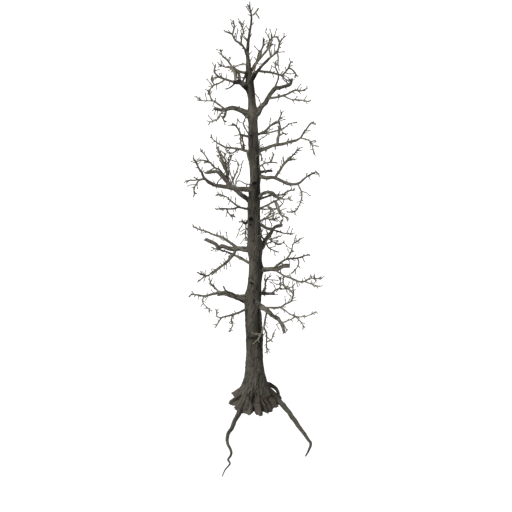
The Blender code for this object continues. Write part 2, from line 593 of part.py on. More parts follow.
def build_root(root, trunk_cutter):
    """A surface root: a half-round bar lying flat on the ground."""
    legs = []
    for length, turn in root.legs:
        legs.append((length, 0, turn))
    points = smooth(walk(Vector((*root.start, 0.0)), root.bearing, legs), ROOT_STEP)
    dice = random.Random(root.name)
    points = kinked(points, BOUGH_KINK, dice)
    along = distances(points)
    rings = []
    for index, point in enumerate(points):
        radius = root.foot + (root.tip - root.foot) * (along[index] / along[-1]) ** root.fullness
        height = radius * (ROOT_HEIGHT + ROOT_SHOULDER * math.exp(-(along[index] / SHOULDER_LENGTH) ** 2))
        way = points[min(index + 1, len(points) - 1)] - points[max(index - 1, 0)]
        way.z = 0.0
        across = way.normalized().cross(Vector((0, 0, 1)))
        ring = []
        for step in range(ROOT_ARC_POINTS):
            angle = math.pi * step / (ROOT_ARC_POINTS - 1)
            spot = point + across * radius * math.cos(angle)
            ring.append(Vector((spot.x, spot.y, height * math.sin(angle))))
        rings.append(ring)
    solid = loft(root.name, rings, "root_bark")
    cut_clear(solid, trunk_cutter)


def build_arch(trunk_cutter):
    """The small root that arches out of the trunk and back into the flare, with a gap under it."""
    points = smooth([Vector(point) for point in ARCH_POINTS], ROOT_STEP)
    solid = tube("root_arch", points, taper(points, ARCH_FOOT, ARCH_TIP), ROOT_ARCH_SIDES, "root_bark")
    cut_clear(solid, trunk_cutter)


# ---------------------------------------------------------------- boughs and masses
class Crown:
    """Keeps the line, radii and cutter of everything that has grown, so that limbs stay clear."""

    def __init__(self):
        self.lines = {}
        self.cutters = {}
        self.bars = []

    def add(self, owner, points, radii):
        """Note the bars of a limb as taken space."""
        for index in range(len(points) - 1):
            self.bars.append((owner, points[index], points[index + 1], max(radii[index], radii[index + 1])))

    def free(self, owner, points, radius):
        """Whether a twig keeps clear of every limb that isn't its own mass."""
        low = [min(point[axis] for point in points) - TWIG_CLEARANCE - radius for axis in range(3)]
        high = [max(point[axis] for point in points) + TWIG_CLEARANCE + radius for axis in range(3)]
        samples = []
        for start, end in zip(points, points[1:]):
            samples += [start.lerp(end, part) for part in CHECKED_PARTS]
        for other, start, end, bar_radius in self.bars:
            if other == owner:
                continue
            if any(max(start[axis], end[axis]) + bar_radius < low[axis] for axis in range(3)):
                continue
            if any(min(start[axis], end[axis]) - bar_radius > high[axis] for axis in range(3)):
                continue
            for sample in samples:
                nearest, part = intersect_point_line(sample, start, end)
                nearest = start.lerp(end, min(1.0, max(0.0, part)))
                if (sample - nearest).length < bar_radius + radius + TWIG_CLEARANCE:
                    return False
        return True


def collared(points, foot, tip):
    """A bough's radii, swollen where it leaves the trunk."""
    along = distances(points)
    return [radius * (1 + COLLAR_SWELL * math.exp(-max(0.0, reach - foot * COLLAR_STARTS) / COLLAR_LENGTH))
            for radius, reach in zip(taper(points, foot, tip), along)]


def build_bough(bough, crown):
    """One bough, cut off where it meets the trunk."""
    dice = random.Random(bough.name)
    corners = walk(trunk_centre(bough.height), bough.bearing, bough.legs)
    points = kinked(smooth(corners, RING_STEP), BOUGH_KINK, dice)
    radii = collared(points, bough.foot, bough.tip)
    solid = tube(bough.name, points, radii, BOUGH_SIDES, "bough_bark")
    cut_clear(solid, crown.cutters["trunk"])
    crown.lines[bough.name] = points
    crown.cutters[bough.name] = swollen(solid)
    crown.add(bough.name, points, radii)


def stem_start(mass, crown):
    """Where a mass's stem begins: on the trunk's axis, on a bough's axis, or just inside its tip."""
    if mass.carrier == "trunk":
        return trunk_centre(mass.at)
    point, way = point_along(crown.lines[mass.carrier], mass.at)
    return point - way * mass.foot * STEM_SINK if mass.at == 1.0 else point


def mass_axes(mass, crown):
    """The stem and the sides of a mass: (points, radii) for each."""
    dice = random.Random(mass.name)
    corners = walk(stem_start(mass, crown), mass.bearing, mass.legs)
    points = kinked(smooth(corners, RING_STEP), STEM_KINK, dice)
    axes = [(points, taper(points, mass.foot, mass.tip))]
    for side in mass.sides:
        start, _ = point_along(axes[side.on][0], side.at)
        line = kinked(smooth(walk(start, side.bearing, side.legs), RING_STEP), STEM_KINK, dice)
        axes.append((line, taper(line, SIDE_FOOT, SIDE_TIP)))
    for points, radii in axes:
        crown.add(mass.name, points, radii)
    return axes


def grow_twigs(mass, axes, crown):
    """The seeded twig rule: short crooked twigs turned off each axis, where there is room."""
    dice = random.Random(mass.name + "_twigs")
    twigs = []
    for points, radii in axes:
        length = distances(points)[-1]
        reach = BARE_FOOT * length + dice.uniform(*FIRST_TWIG) * TWIG_SPACING
        if points is axes[0][0] and mass.carrier == "trunk":
            reach += between(TRUNK_RADII, mass.at)
        while reach < length:
            start, way = point_along(points, reach / length)
            across = way.orthogonal().normalized()
            across.rotate(Matrix.Rotation(dice.uniform(0, 2 * math.pi), 3, way))
            first = (across + way * dice.uniform(*TWIG_LEAN)).normalized()
            turn = across * dice.uniform(-TWIG_TURN, TWIG_TURN) + Vector((0, 0, dice.uniform(*TWIG_UPTURN)))
            second = (first + turn).normalized()
            size = dice.uniform(*TWIG_REACH) * (1.0 - TWIG_SHORTENING * reach / length)
            bend = start + first * size * TWIG_BEND_AT
            line = [start, bend, bend + second * size * (1.0 - TWIG_BEND_AT)]
            if crown.free(mass.name, line, TWIG_FOOT):
                twigs.append(line)
                crown.add(mass.name, line, [TWIG_FOOT] * 3)
            reach += TWIG_SPACING * dice.uniform(*TWIG_SPREAD)
    return twigs


def build_mass(mass, axes, crown):
    """One mass: its stem, its sides and its twigs fused, and cut off where it meets its carrier."""
    sides = THICK_STEM_SIDES if mass.foot > THICK_STEM else STEM_SIDES
    solid = tube(mass.name, axes[0][0], axes[0][1], sides, "twig_bark")
    pieces = []
    for number, (points, radii) in enumerate(axes[1:]):
        pieces.append(tube(f"{mass.name}_side_{number}", points, radii, TWIG_SIDES, "twig_bark"))
    for number, line in enumerate(grow_twigs(mass, axes, crown)):
        radii = taper(line, TWIG_FOOT, TWIG_TIP)
        pieces.append(tube(f"{mass.name}_twig_{number}", line, radii, TWIG_SIDES, "twig_bark"))
    fuse(solid, pieces)
    cut_clear(solid, crown.cutters[mass.carrier])


def main():
    """Build the whole tree."""
    remove(list(bpy.data.objects))
    crown = Crown()
    trunk = build_trunk()
    crown.cutters["trunk"] = swollen(trunk)
    heights = trunk_heights()
    crown.add("trunk", [trunk_centre(height) for height in heights],
              [between(TRUNK_RADII, height) for height in heights])
    for root in ROOTS:
        build_root(root, crown.cutters["trunk"])
    build_arch(crown.cutters["trunk"])
    for bough in BOUGHS:
        build_bough(bough, crown)
    axes = {mass.name: mass_axes(mass, crown) for mass in MASSES}
    for mass in MASSES:
        build_mass(mass, axes[mass.name], crown)
    remove(list(crown.cutters.values()))


main()
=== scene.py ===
"""The looks of a dead, bare conifer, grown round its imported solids: bark, splintered stubs and fine twigs.

Metres, +Z up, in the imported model's own frame. The boughs, stems, sides and first twigs are walked from the
same named sizes and by the same seeded rule as the solids, and the rule is then carried on to finer twigs.
Twigs that stand out to the eye are set one by one.
A bearing is in degrees anticlockwise from +X, seen from above. A rise is in degrees above level.
"""
import math
import random
from collections import namedtuple
from itertools import product

import bpy
import numpy as np
from mathutils import Matrix, Vector


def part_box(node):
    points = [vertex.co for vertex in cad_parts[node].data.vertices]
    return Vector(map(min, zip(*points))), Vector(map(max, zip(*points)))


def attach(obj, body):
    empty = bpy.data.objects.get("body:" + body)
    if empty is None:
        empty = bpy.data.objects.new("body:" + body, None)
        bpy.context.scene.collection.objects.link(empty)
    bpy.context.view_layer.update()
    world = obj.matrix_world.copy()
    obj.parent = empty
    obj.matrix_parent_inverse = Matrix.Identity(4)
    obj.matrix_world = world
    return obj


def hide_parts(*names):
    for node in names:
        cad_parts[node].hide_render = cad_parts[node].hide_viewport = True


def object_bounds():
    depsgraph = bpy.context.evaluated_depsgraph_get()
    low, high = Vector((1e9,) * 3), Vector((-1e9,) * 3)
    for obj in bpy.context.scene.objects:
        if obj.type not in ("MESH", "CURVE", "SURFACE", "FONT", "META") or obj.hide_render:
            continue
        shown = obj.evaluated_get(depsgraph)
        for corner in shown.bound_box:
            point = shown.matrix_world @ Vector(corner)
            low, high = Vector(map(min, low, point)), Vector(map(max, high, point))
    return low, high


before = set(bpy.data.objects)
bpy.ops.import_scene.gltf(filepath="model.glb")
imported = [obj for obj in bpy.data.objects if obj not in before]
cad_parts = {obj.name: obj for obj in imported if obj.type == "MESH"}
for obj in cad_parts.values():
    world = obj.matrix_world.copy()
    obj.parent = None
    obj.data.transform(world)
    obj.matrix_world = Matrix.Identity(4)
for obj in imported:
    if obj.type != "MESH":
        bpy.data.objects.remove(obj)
CAD_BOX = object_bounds()

# ---------------------------------------------------------------- sizes
TREE_HEIGHT = 14.0

# The trunk: (height, radius) and the crooks of its centre line, (height, shift along +X).
TRUNK_RADII = (
    (0.0, 0.330), (2.8, 0.300), (3.8, 0.262), (5.0, 0.243), (6.4, 0.213), (7.6, 0.197), (8.5, 0.170),
    (9.7, 0.157), (10.5, 0.126), (11.7, 0.112), (12.1, 0.082), (12.5, 0.056),
    (13.0, 0.040), (13.6, 0.029), (14.0, 0.015),
)
TRUNK_CROOKS = (
    (0.0, 0.0), (2.2, -0.03), (3.8, -0.08), (5.5, 0.0), (7.6, -0.06), (8.5, 0.0), (9.8, -0.06), (11.1, -0.10),
    (11.8, -0.18), (12.6, -0.24), (13.0, -0.19), (13.4, -0.12), (13.6, -0.11), (13.8, -0.16), (14.0, -0.16),
)
TRUNK_SWAY = 0.05
TRUNK_SWAY_WAVE = 6.5
LOW_RING_HEIGHTS = (0.0, 0.07, 0.18, 0.35, 0.60, 0.95, 1.4, 1.9, 2.4, 2.82, 2.92)
TRUNK_RING_STEP = 0.80
TOP_RING_STEP = 0.40
TOP_STARTS = 12.4

# Slow lumps that wind up the trunk: (waves round, metres up for one wave, start in degrees, size).
TRUNK_LUMPS = ((2, 3.1, 20, 0.018), (3, -2.6, 140, 0.016), (5, 2.4, 75, 0.010))
FULL_LUMP_RADIUS = 0.28
# A torn ledge across the trunk's front. It fades over a short way above and below its line.
LEDGE_HEIGHT = 2.87
LEDGE_BEARING = 246
LEDGE_WIDTH = 34.0
LEDGE_FALL = 0.12
LEDGE_STEP = 0.024

# The root flare: plates of (bearing, reach, half width in degrees, bluntness), each fading as it rises.
FLARE_PLATES = (
    (12, 0.98, 15, 3.0), (58, 0.86, 20, 3.5), (105, 0.88, 20, 3.0), (152, 1.06, 15, 1.1),
    (187, 1.05, 17, 1.3), (215, 0.86, 15, 4.0), (247, 0.93, 16, 4.5), (279, 0.97, 11, 4.5),
    (309, 0.95, 17, 5.0), (336, 0.93, 13, 4.0),
)
FLARE_VALLEY = 0.68
FLARE_FALL = 0.46
# Ridges down the flare, the first two into the long roots: (bearing at the ground, at the top, top, rise).
RIDGES = (
    (235, 262, 1.10, 0.080), (343, 318, 1.15, 0.080), (271, 273, 1.10, 0.045), (300, 288, 0.90, 0.045),
    (186, 215, 1.00, 0.050), (152, 160, 0.90, 0.040), (105, 112, 1.00, 0.050), (60, 66, 0.95, 0.050),
    (18, 36, 1.00, 0.045),
)
RIDGE_WIDTH = 6.5

RING_STEP = 0.30
COLLAR_SWELL = 0.35
COLLAR_LENGTH = 0.12
COLLAR_STARTS = 2.0
BOUGH_KINK = 0.014
STEM_KINK = 0.016

# The twig rule, the same for every mass.
TWIG_SPACING = 0.36
TWIG_SPREAD = (0.6, 1.4)
TWIG_REACH = (0.10, 0.26)
TWIG_SHORTENING = 0.35
TWIG_LEAN = (0.3, 0.9)
TWIG_TURN = 0.5
TWIG_UPTURN = (-0.1, 0.5)
TWIG_BEND_AT = 0.55
TWIG_FOOT = 0.013
TWIG_CLEARANCE = 0.012
CHECKED_PARTS = (0.25, 0.5, 0.75, 1.0)
FIRST_TWIG = (0.3, 1.0)
BARE_FOOT = 0.12
SIDE_FOOT = 0.028
SIDE_TIP = 0.017
STEM_TIP = 0.021
STEM_SINK = 0.5

Bough = namedtuple("Bough", "name height bearing foot tip legs")
Mass = namedtuple("Mass", "name carrier at bearing foot tip legs sides")
Side = namedtuple("Side", "on at bearing legs")

# Boughs grow from the trunk's axis at their height. foot and tip are radii.
BOUGHS = (
    Bough("bough_left_38", 3.97, 150, 0.055, 0.046, ((0.60, 12), (0.62, 4), (0.30, -19))),
    Bough("bough_left_44", 4.36, 190, 0.100, 0.080, ((0.55, 5), (0.50, 27))),
    Bough("bough_left_62", 6.15, 172, 0.092, 0.058,
          ((0.52, -3), (0.27, -3), (0.33, 11), (0.14, -20), (0.18, 48), (0.37, 23))),
    Bough("bough_left_78", 7.75, 150, 0.084, 0.048,
          ((0.58, 25), (0.35, 30), (0.27, 33), (0.25, 42), (0.23, 27), (0.29, -14), (0.15, -10))),
    Bough("bough_left_82", 8.23, 215, 0.084, 0.054,
          ((0.61, 12), (0.33, 14), (0.34, 20), (0.33, 18), (0.30, 37))),
    Bough("bough_left_106", 10.60, 185, 0.092, 0.062,
          ((0.16, 36), (0.17, 34), (0.14, 24), (0.25, 11), (0.19, -10))),
    Bough("bough_left_114", 11.42, 200, 0.092, 0.060, ((0.20, 42), (0.13, 40), (0.11, 32), (0.22, 6))),
    Bough("bough_right_116", 11.65, 318, 0.058, 0.036, ((0.16, 52), (0.35, 51), (0.33, 44), (0.31, 40))),
    Bough("bough_right_106", 10.62, 350, 0.092, 0.045,
          ((0.16, 43), (0.28, 52), (0.16, 45), (0.16, 61), (0.35, 54), (0.15, 17), (0.28, 20), (0.10, 40),
           (0.14, 84))),
    Bough("bough_right_95", 9.47, 10, 0.060, 0.040, ((0.40, 15), (0.27, 19), (0.52, 10), (0.23, 11))),
    Bough("bough_right_88", 8.77, 50, 0.045, 0.042, ((0.45, -4), (0.42, -12))),
    Bough("bough_right_87", 8.70, 348, 0.068, 0.046,
          ((0.37, -9), (0.26, 2), (0.29, -22), (0.24, -17), (0.25, 6))),
    Bough("bough_right_79", 7.89, 332, 0.046, 0.036,
          ((0.28, 30), (0.16, 45), (0.27, 18), (0.12, -25), (0.10, -62), (0.17, -7))),
    Bough("bough_right_60", 6.04, 40, 0.084, 0.060,
          ((0.30, 17), (0.24, 49), (0.33, 43), (0.13, 50), (0.17, 23), (0.26, 0))),
    Bough("bough_right_54", 5.36, 345, 0.084, 0.066, ((0.64, 12), (0.14, 4), (0.25, 32), (0.22, 12))),
    Bough("bough_front_44", 4.37, 285, 0.108, 0.072, ((0.45, -5), (0.49, -14, 30), (0.29, -23), (0.27, 0))),
)

# A mass grows from one stem, at a fraction of its carrier's length (1 is the tip) or a height on the trunk.
# A side leaves axis number on (0 is the stem, then the sides in order) at a fraction of its length.
MASSES = (
    Mass("twigs_left_44", "bough_left_44", 1.0, 190, 0.056, STEM_TIP,
         ((0.28, 0), (0.25, -10), (0.23, -10), (0.40, 11), (0.15, -25)),
         (Side(0, 0.16, 175, ((0.22, 45), (0.25, 55), (0.12, 72))),
          Side(0, 0.58, 190, ((0.20, -72), (0.15, -108), (0.32, -132))))),
    Mass("twigs_left_39", "trunk", 3.87, 205, 0.052, STEM_TIP,
         ((0.31, 6), (0.24, -17), (0.20, -6), (0.39, 3), (0.08, -20), (0.21, -57), (0.17, -54)),
         (Side(0, 0.50, 215, ((0.25, -75), (0.18, -105), (0.25, -65))),
          Side(0, 0.76, 195, ((0.10, 10), (0.12, 50), (0.22, 88))))),
    Mass("twigs_left_62_up", "bough_left_62", 0.32, 135, 0.044, STEM_TIP,
         ((0.30, 17), (0.29, 7), (0.21, 16), (0.40, -2), (0.40, 2), (0.36, -7), (0.40, 1)), ()),
    Mass("twigs_left_62_down", "bough_left_62", 0.34, 215, 0.044, STEM_TIP,
         ((0.31, -46), (0.27, -39), (0.26, -20), (0.36, -22), (0.25, -16), (0.40, 35)),
         (Side(0, 0.80, 215, ((0.30, -26),)),)),
    Mass("twigs_left_55", "trunk", 5.54, 150, 0.050, STEM_TIP,
         ((0.26, 7), (0.24, 24), (0.09, 18), (0.16, 7, 5), (0.32, 18), (0.30, 4), (0.28, 4), (0.09, 26)), ()),
    Mass("twigs_left_70", "trunk", 7.04, 130, 0.055, 0.042, ((0.26, 0), (0.24, -33), (0.18, 12)),
         (Side(0, 0.70, 130, ((0.27, -88), (0.14, -80), (0.24, -105))),)),
    Mass("twigs_left_75", "trunk", 7.50, 225, 0.040, STEM_TIP, ((0.70, 23), (0.37, 8), (0.38, 16), (0.26, 7)),
         (Side(0, 0.40, 215, ((0.25, 38), (0.34, 45), (0.09, 52), (0.26, 23), (0.14, 22))),
          Side(0, 0.76, 225, ((0.20, -118), (0.14, -134), (0.18, -157))))),
    Mass("twigs_left_78_out", "bough_left_78", 0.44, 190, 0.042, STEM_TIP,
         ((0.45, 60), (0.30, 48), (0.15, 30), (0.27, 47), (0.25, 15), (0.08, 0)),
         (Side(0, 0.05, 20, ((0.23, 60), (0.24, 66), (0.24, 76), (0.10, 105))),
          Side(0, 0.60, 190, ((0.30, -28),)),
          Side(0, 0.78, 185, ((0.22, 63), (0.22, 54))))),
    Mass("twigs_left_78_up", "bough_left_78", 0.52, 145, 0.036, STEM_TIP,
         ((0.36, 80), (0.46, 64), (0.40, 72)),
         (Side(0, 0.08, 150, ((0.40, 80), (0.38, 66), (0.38, 56))),
          Side(0, 0.16, 80, ((0.15, 30), (0.36, 80), (0.21, 88))),
          Side(0, 0.22, 120, ((0.25, 80), (0.30, 72), (0.20, 86))),
          Side(3, 0.45, 30, ((0.22, 48), (0.16, 66))))),
    Mass("twigs_left_82", "bough_left_82", 1.0, 215, 0.046, STEM_TIP,
         ((0.20, 50), (0.21, 62), (0.15, 58), (0.22, 68), (0.19, 58)),
         (Side(0, 0.12, 215, ((0.20, 3), (0.11, -39), (0.09, -42), (0.12, -55), (0.24, -90))),
          Side(0, 0.16, 205, ((0.31, -4), (0.19, 9), (0.10, -10))))),
    Mass("twigs_left_95", "trunk", 9.50, 140, 0.050, 0.018,
         ((0.58, -5), (0.33, 0), (0.29, -6), (0.25, 12), (0.24, 18), (0.19, 27), (0.05, 12)),
         (Side(0, 0.34, 145, ((0.25, -38), (0.24, -12), (0.15, 50))),)),
    Mass("twigs_left_100", "trunk", 9.97, 218, 0.044, STEM_TIP,
         ((0.46, 17), (0.06, 35), (0.18, 55), (0.22, 56), (0.11, 26)),
         (Side(0, 0.42, 230, ((0.13, -85), (0.24, -108), (0.08, -100))),
          Side(0, 0.50, 215, ((0.18, -88), (0.13, -90), (0.14, -112))))),
    Mass("twigs_left_106", "bough_left_106", 1.0, 185, 0.058, 0.052, ((0.16, -8), (0.22, 14)),
         (Side(0, 0.10, 170, ((0.19, 35), (0.21, 28), (0.10, 23), (0.31, -3), (0.11, 27), (0.12, 50))),
          Side(0, 0.12, 205, ((0.20, -38), (0.17, -58), (0.16, -15), (0.14, -13))),
          Side(0, 0.05, 225, ((0.14, -75), (0.17, -62), (0.11, -120))),
          Side(1, 0.48, 175, ((0.20, 75), (0.14, 62))))),
    Mass("twigs_left_114", "bough_left_114", 1.0, 198, 0.042, STEM_TIP,
         ((0.24, 18), (0.22, 20), (0.11, 45), (0.15, 53), (0.17, 103)),
         (Side(0, 0.32, 205, ((0.24, -27), (0.17, -12), (0.16, -38), (0.09, -62))),
          Side(1, 0.60, 200, ((0.16, 60), (0.10, 92))),
          Side(0, 0.52, 190, ((0.17, -5), (0.11, -60))))),
    Mass("twigs_left_114_up", "bough_left_114", 0.66, 130, 0.042, STEM_TIP,
         ((0.21, 77), (0.15, 62), (0.13, 11), (0.22, 17), (0.24, 45), (0.23, 14), (0.12, 45), (0.14, 80)),
         (Side(0, 0.05, 190, ((0.13, 45), (0.15, 85), (0.18, 38), (0.19, 15), (0.23, 21))),)),
    Mass("twigs_top_left", "trunk", 12.42, 190, 0.042, STEM_TIP,
         ((0.10, 60), (0.15, 73), (0.14, 57), (0.09, 38), (0.18, 41), (0.17, 58), (0.15, 28), (0.06, 14)),
         (Side(0, 0.42, 350, ((0.26, 82), (0.08, 47), (0.18, 103), (0.17, 112))),
          Side(0, 0.78, 10, ((0.21, 78), (0.09, 80), (0.08, 105))))),
    Mass("twigs_top", "trunk", 13.56, 340, 0.024, 0.016, ((0.17, 48), (0.11, 45)),
         (Side(0, 0.62, 340, ((0.17, -52),)),)),
    Mass("twigs_right_119", "trunk", 11.90, 50, 0.042, STEM_TIP,
         ((0.10, 43), (0.23, 43), (0.16, 45), (0.29, 66), (0.20, 31), (0.16, 81), (0.12, 75)),
         (Side(0, 0.36, 40, ((0.15, 31), (0.20, 39), (0.20, 39), (0.18, 70), (0.17, 54), (0.19, 36))),)),
    Mass("twigs_right_116", "bough_right_116", 1.0, 320, 0.034, STEM_TIP,
         ((0.36, 40), (0.28, 66), (0.21, 49)),
         (Side(0, 0.06, 350, ((0.20, 100), (0.16, 72))),
          Side(0, 0.38, 320, ((0.15, -60), (0.25, -97))),
          Side(0, 0.75, 320, ((0.13, 130),)))),
    Mass("twigs_right_116_low", "bough_right_116", 0.45, 355, 0.038, STEM_TIP,
         ((0.24, -5), (0.22, -13), (0.22, -16), (0.11, 30), (0.22, 42), (0.19, 67), (0.06, 14)),
         (Side(0, 0.80, 345, ((0.13, -20), (0.23, -50))),
          Side(0, 0.50, 355, ((0.24, 110), (0.15, 97))))),
    Mass("twigs_right_106", "bough_right_106", 0.42, 320, 0.042, STEM_TIP,
         ((0.39, 15), (0.21, 20), (0.26, 22), (0.23, 28), (0.28, 6), (0.18, 24)),
         (Side(0, 0.38, 335, ((0.25, -18), (0.11, -15), (0.28, 3), (0.24, -5))),)),
    Mass("twigs_right_100", "trunk", 10.00, 45, 0.040, STEM_TIP,
         ((0.41, 6), (0.28, 19), (0.13, 34), (0.29, 6), (0.20, 48), (0.21, 58)),
         (Side(0, 0.18, 325, ((0.31, 13), (0.32, 18), (0.29, 24), (0.29, 37), (0.25, 20))),)),
    Mass("twigs_right_95", "bough_right_95", 1.0, 15, 0.036, STEM_TIP,
         ((0.17, 28), (0.17, 60), (0.15, 48), (0.22, 59), (0.14, 17)),
         (Side(0, 0.18, 350, ((0.28, -14), (0.22, -53), (0.25, -77))),
          Side(1, 0.45, 345, ((0.18, 15),)))),
    Mass("twigs_right_95_up", "bough_right_95", 0.56, 25, 0.030, STEM_TIP,
         ((0.23, 80), (0.28, 80), (0.21, 98)),
         (Side(0, 0.40, 10, ((0.16, 25), (0.10, -15))),)),
    Mass("twigs_right_89", "trunk", 8.90, 322, 0.032, STEM_TIP,
         ((0.49, 34), (0.25, 25), (0.22, 63), (0.08, 90)),
         (Side(0, 0.62, 340, ((0.26, 5),)),
          Side(0, 0.35, 322, ((0.25, -50),)))),
    Mass("twigs_right_87", "bough_right_87", 1.0, 345, 0.040, STEM_TIP,
         ((0.15, 36), (0.30, 39), (0.24, 33), (0.10, 30), (0.11, -40)),
         (Side(0, 0.05, 330,
               ((0.27, -56), (0.14, -80), (0.23, -105), (0.27, -108), (0.20, -130), (0.25, -170))),)),
    Mass("twigs_right_87_up", "bough_right_87", 0.46, 45, 0.038, STEM_TIP,
         ((0.30, 41), (0.22, 43), (0.30, 24), (0.25, 27), (0.35, 32)),
         (Side(0, 0.40, 45, ((0.25, 108),)),
          Side(0, 0.55, 45, ((0.30, -6),)))),
    Mass("twigs_right_78", "trunk", 7.77, 45, 0.042, STEM_TIP,
         ((0.30, 6), (0.35, 2), (0.32, -3), (0.43, -14), (0.28, 12), (0.30, -3)), ()),
    Mass("twigs_right_75", "trunk", 7.46, 325, 0.040, STEM_TIP,
         ((0.25, 29), (0.31, 33), (0.33, 32), (0.35, 36), (0.25, 39)),
         (Side(0, 0.80, 335, ((0.25, 12), (0.12, 8))),
          Side(0, 0.46, 345, ((0.30, -70), (0.20, -135))),
          Side(0, 0.66, 340, ((0.26, -70), (0.20, -58), (0.17, -55), (0.22, -110))))),
    Mass("twigs_right_71", "trunk", 7.08, 316, 0.032, STEM_TIP,
         ((0.41, 25), (0.19, 40), (0.29, 3), (0.24, 30), (0.14, 28)), ()),
    Mass("twigs_right_70", "trunk", 7.07, 22, 0.044, STEM_TIP,
         ((0.21, -18), (0.25, -38), (0.21, -29), (0.27, -20), (0.29, -28), (0.34, -13)), ()),
    Mass("twigs_right_60", "bough_right_60", 0.40, 350, 0.026, STEM_TIP,
         ((0.28, -68), (0.19, -22), (0.12, -26)),
         (Side(0, 0.20, 10, ((0.22, 10), (0.20, -22), (0.20, 8))),)),
    Mass("twigs_right_54_up", "bough_right_54", 0.50, 35, 0.044, STEM_TIP,
         ((0.31, 30), (0.29, 11), (0.51, -10), (0.29, 7), (0.24, -4)),
         (Side(0, 0.36, 45, ((0.24, 38), (0.22, 51), (0.13, 78), (0.17, 18), (0.28, 11))),
          Side(0, 0.68, 20, ((0.21, -70), (0.22, -118), (0.20, -134))))),
    Mass("twigs_right_54_low", "bough_right_54", 0.55, 322, 0.040, STEM_TIP,
         ((0.39, -18), (0.33, -4), (0.28, -3), (0.25, 12), (0.26, 40), (0.46, 16)),
         (Side(0, 0.64, 320, ((0.25, -4), (0.34, 3))),
          Side(0, 0.20, 325, ((0.30, -87), (0.39, -30))))),
    Mass("twigs_right_44", "trunk", 4.45, 25, 0.060, 0.052, ((0.40, -9), (0.40, -13)),
         (Side(0, 0.80, 25, ((0.30, 26), (0.11, 30), (0.38, 86))),
          Side(1, 0.45, 15, ((0.20, -20), (0.15, 5))))),
    Mass("twigs_front_44", "bough_front_44", 1.0, 315, 0.062, 0.048, ((0.21, -45), (0.30, -61)),
         (Side(0, 0.15, 330, ((0.12, -10), (0.30, 30), (0.27, 41))),
          Side(1, 0.15, 330, ((0.33, -56),)))),
    Mass("twigs_front_44_right", "bough_front_44", 0.50, 338, 0.042, STEM_TIP,
         ((0.46, 12), (0.21, 14), (0.19, 48), (0.24, 37), (0.20, 67), (0.15, 76), (0.28, 104)),
         (Side(0, 0.38, 340, ((0.14, -23), (0.20, -40), (0.19, -15), (0.26, 0), (0.33, 24), (0.24, 39))),
          Side(1, 0.42, 340, ((0.27, -45), (0.23, -55))))),
    Mass("twigs_front_44_hang", "bough_front_44", 0.62, 200, 0.036, STEM_TIP,
         ((0.31, -78), (0.31, -83), (0.29, -107), (0.40, -92), (0.40, -93)),
         (Side(0, 0.72, 350, ((0.20, 35), (0.30, 72))),
          Side(0, 0.32, 230, ((0.30, -55), (0.25, -45))))),
    Mass("twigs_back_52", "trunk", 5.20, 98, 0.060, STEM_TIP,
         ((0.60, 6), (0.45, 18), (0.40, 10), (0.35, 30), (0.30, 12)),
         (Side(0, 0.45, 110, ((0.25, 50), (0.25, 65))),
          Side(0, 0.60, 82, ((0.30, -35), (0.30, -55))))),
    Mass("twigs_back_90", "trunk", 9.00, 84, 0.050, STEM_TIP, ((0.50, 12), (0.40, 2), (0.35, 20), (0.35, 35)),
         (Side(0, 0.50, 100, ((0.25, 45), (0.25, 60))),
          Side(0, 0.66, 70, ((0.30, -30), (0.25, -60))))),
)

# Surface roots lie on the ground, legs of (length, turn). A higher fullness keeps a root thick for longer.
Root = namedtuple("Root", "name start bearing foot tip fullness legs")
ROOTS = (
    Root("root_left", (-0.32, -0.35), 234, 0.108, 0.016, 0.9,
         ((0.40, 0), (0.85, 20), (0.60, 0), (0.48, 19), (0.40, 17), (0.38, -34), (0.22, 28), (0.30, -42),
          (0.34, 14))),
    Root("root_right", (0.40, 0.00), 345, 0.100, 0.022, 2.2,
         ((0.48, 0), (0.60, -45), (0.60, -8), (1.00, -1), (0.32, 0), (0.32, -29), (0.42, -15))),
)
ROOT_STEP = 0.21
# A root stands this many radii high, and higher where it comes down over the flare.
ROOT_HEIGHT = 1.3
ROOT_SHOULDER = 3.0
SHOULDER_LENGTH = 0.42
# The small arched root behind on the right: its foot, crown and landing.
ARCH_POINTS = (
    (0.18, 0.22, 0.60), (0.42, 0.33, 0.50), (0.61, 0.36, 0.42), (0.78, 0.33, 0.29), (0.86, 0.26, 0.12),
    (0.87, 0.17, 0.02),
)
ARCH_FOOT = 0.115
ARCH_TIP = 0.046


# ---------------------------------------------------------------- sizes of the looks
# The meshes of the trunk and the limbs: sides of a ring, and metres from one ring to the next.
# A surface root's sides are the points of its arch over the ground.
Mesh = namedtuple("Mesh", "sides step")
FLARE_MESH = Mesh(320, 0.014)
BARK_MESH = Mesh(144, 0.026)
LEADER_MESH = Mesh(18, 0.02)
BOUGH_MESH = Mesh(22, 0.028)
STEM_MESH = Mesh(12, 0.035)
SIDE_MESH = Mesh(8, 0.035)
ROOT_MESH = Mesh(16, 0.03)
ARCH_MESH = Mesh(22, 0.03)
TWIG_MESH_STEP = 0.03
# Where one kind of trunk mesh passes to the next, and how far apart the leader's own stations are.
FLARE_TOP = 1.30
BARK_TOP = 12.26
LEADER_STARTS = 12.16
LEADER_STATIONS = 0.10
# A limb's mesh starts at this share of the trunk's radius.
LIMB_SINK = 0.70

# Noise in bark: waves round, metres along for one wave, how much it adds, and its seed.
Grain = namedtuple("Grain", "waves length size seed")
LUMPS = (
    Grain(2.4, 0.40, 0.008, 0), Grain(5.0, 0.17, 0.010, 1), Grain(10.0, 0.09, 0.010, 2),
    Grain(26.0, 0.16, 0.0040, 3),
)
PLATE_WARP = Grain(6.0, 0.12, 0.55, 11)
FINE_GRAIN = Grain(30.0, 0.35, 0.10, 13)
BLOTCHES = Grain(2.2, 0.30, 0.16, 14)
# The trunk's relief is at its full height where it is this thick, and never lower than this share of it.
FULL_RELIEF_RADIUS = 0.28
LEAST_RELIEF = 0.25
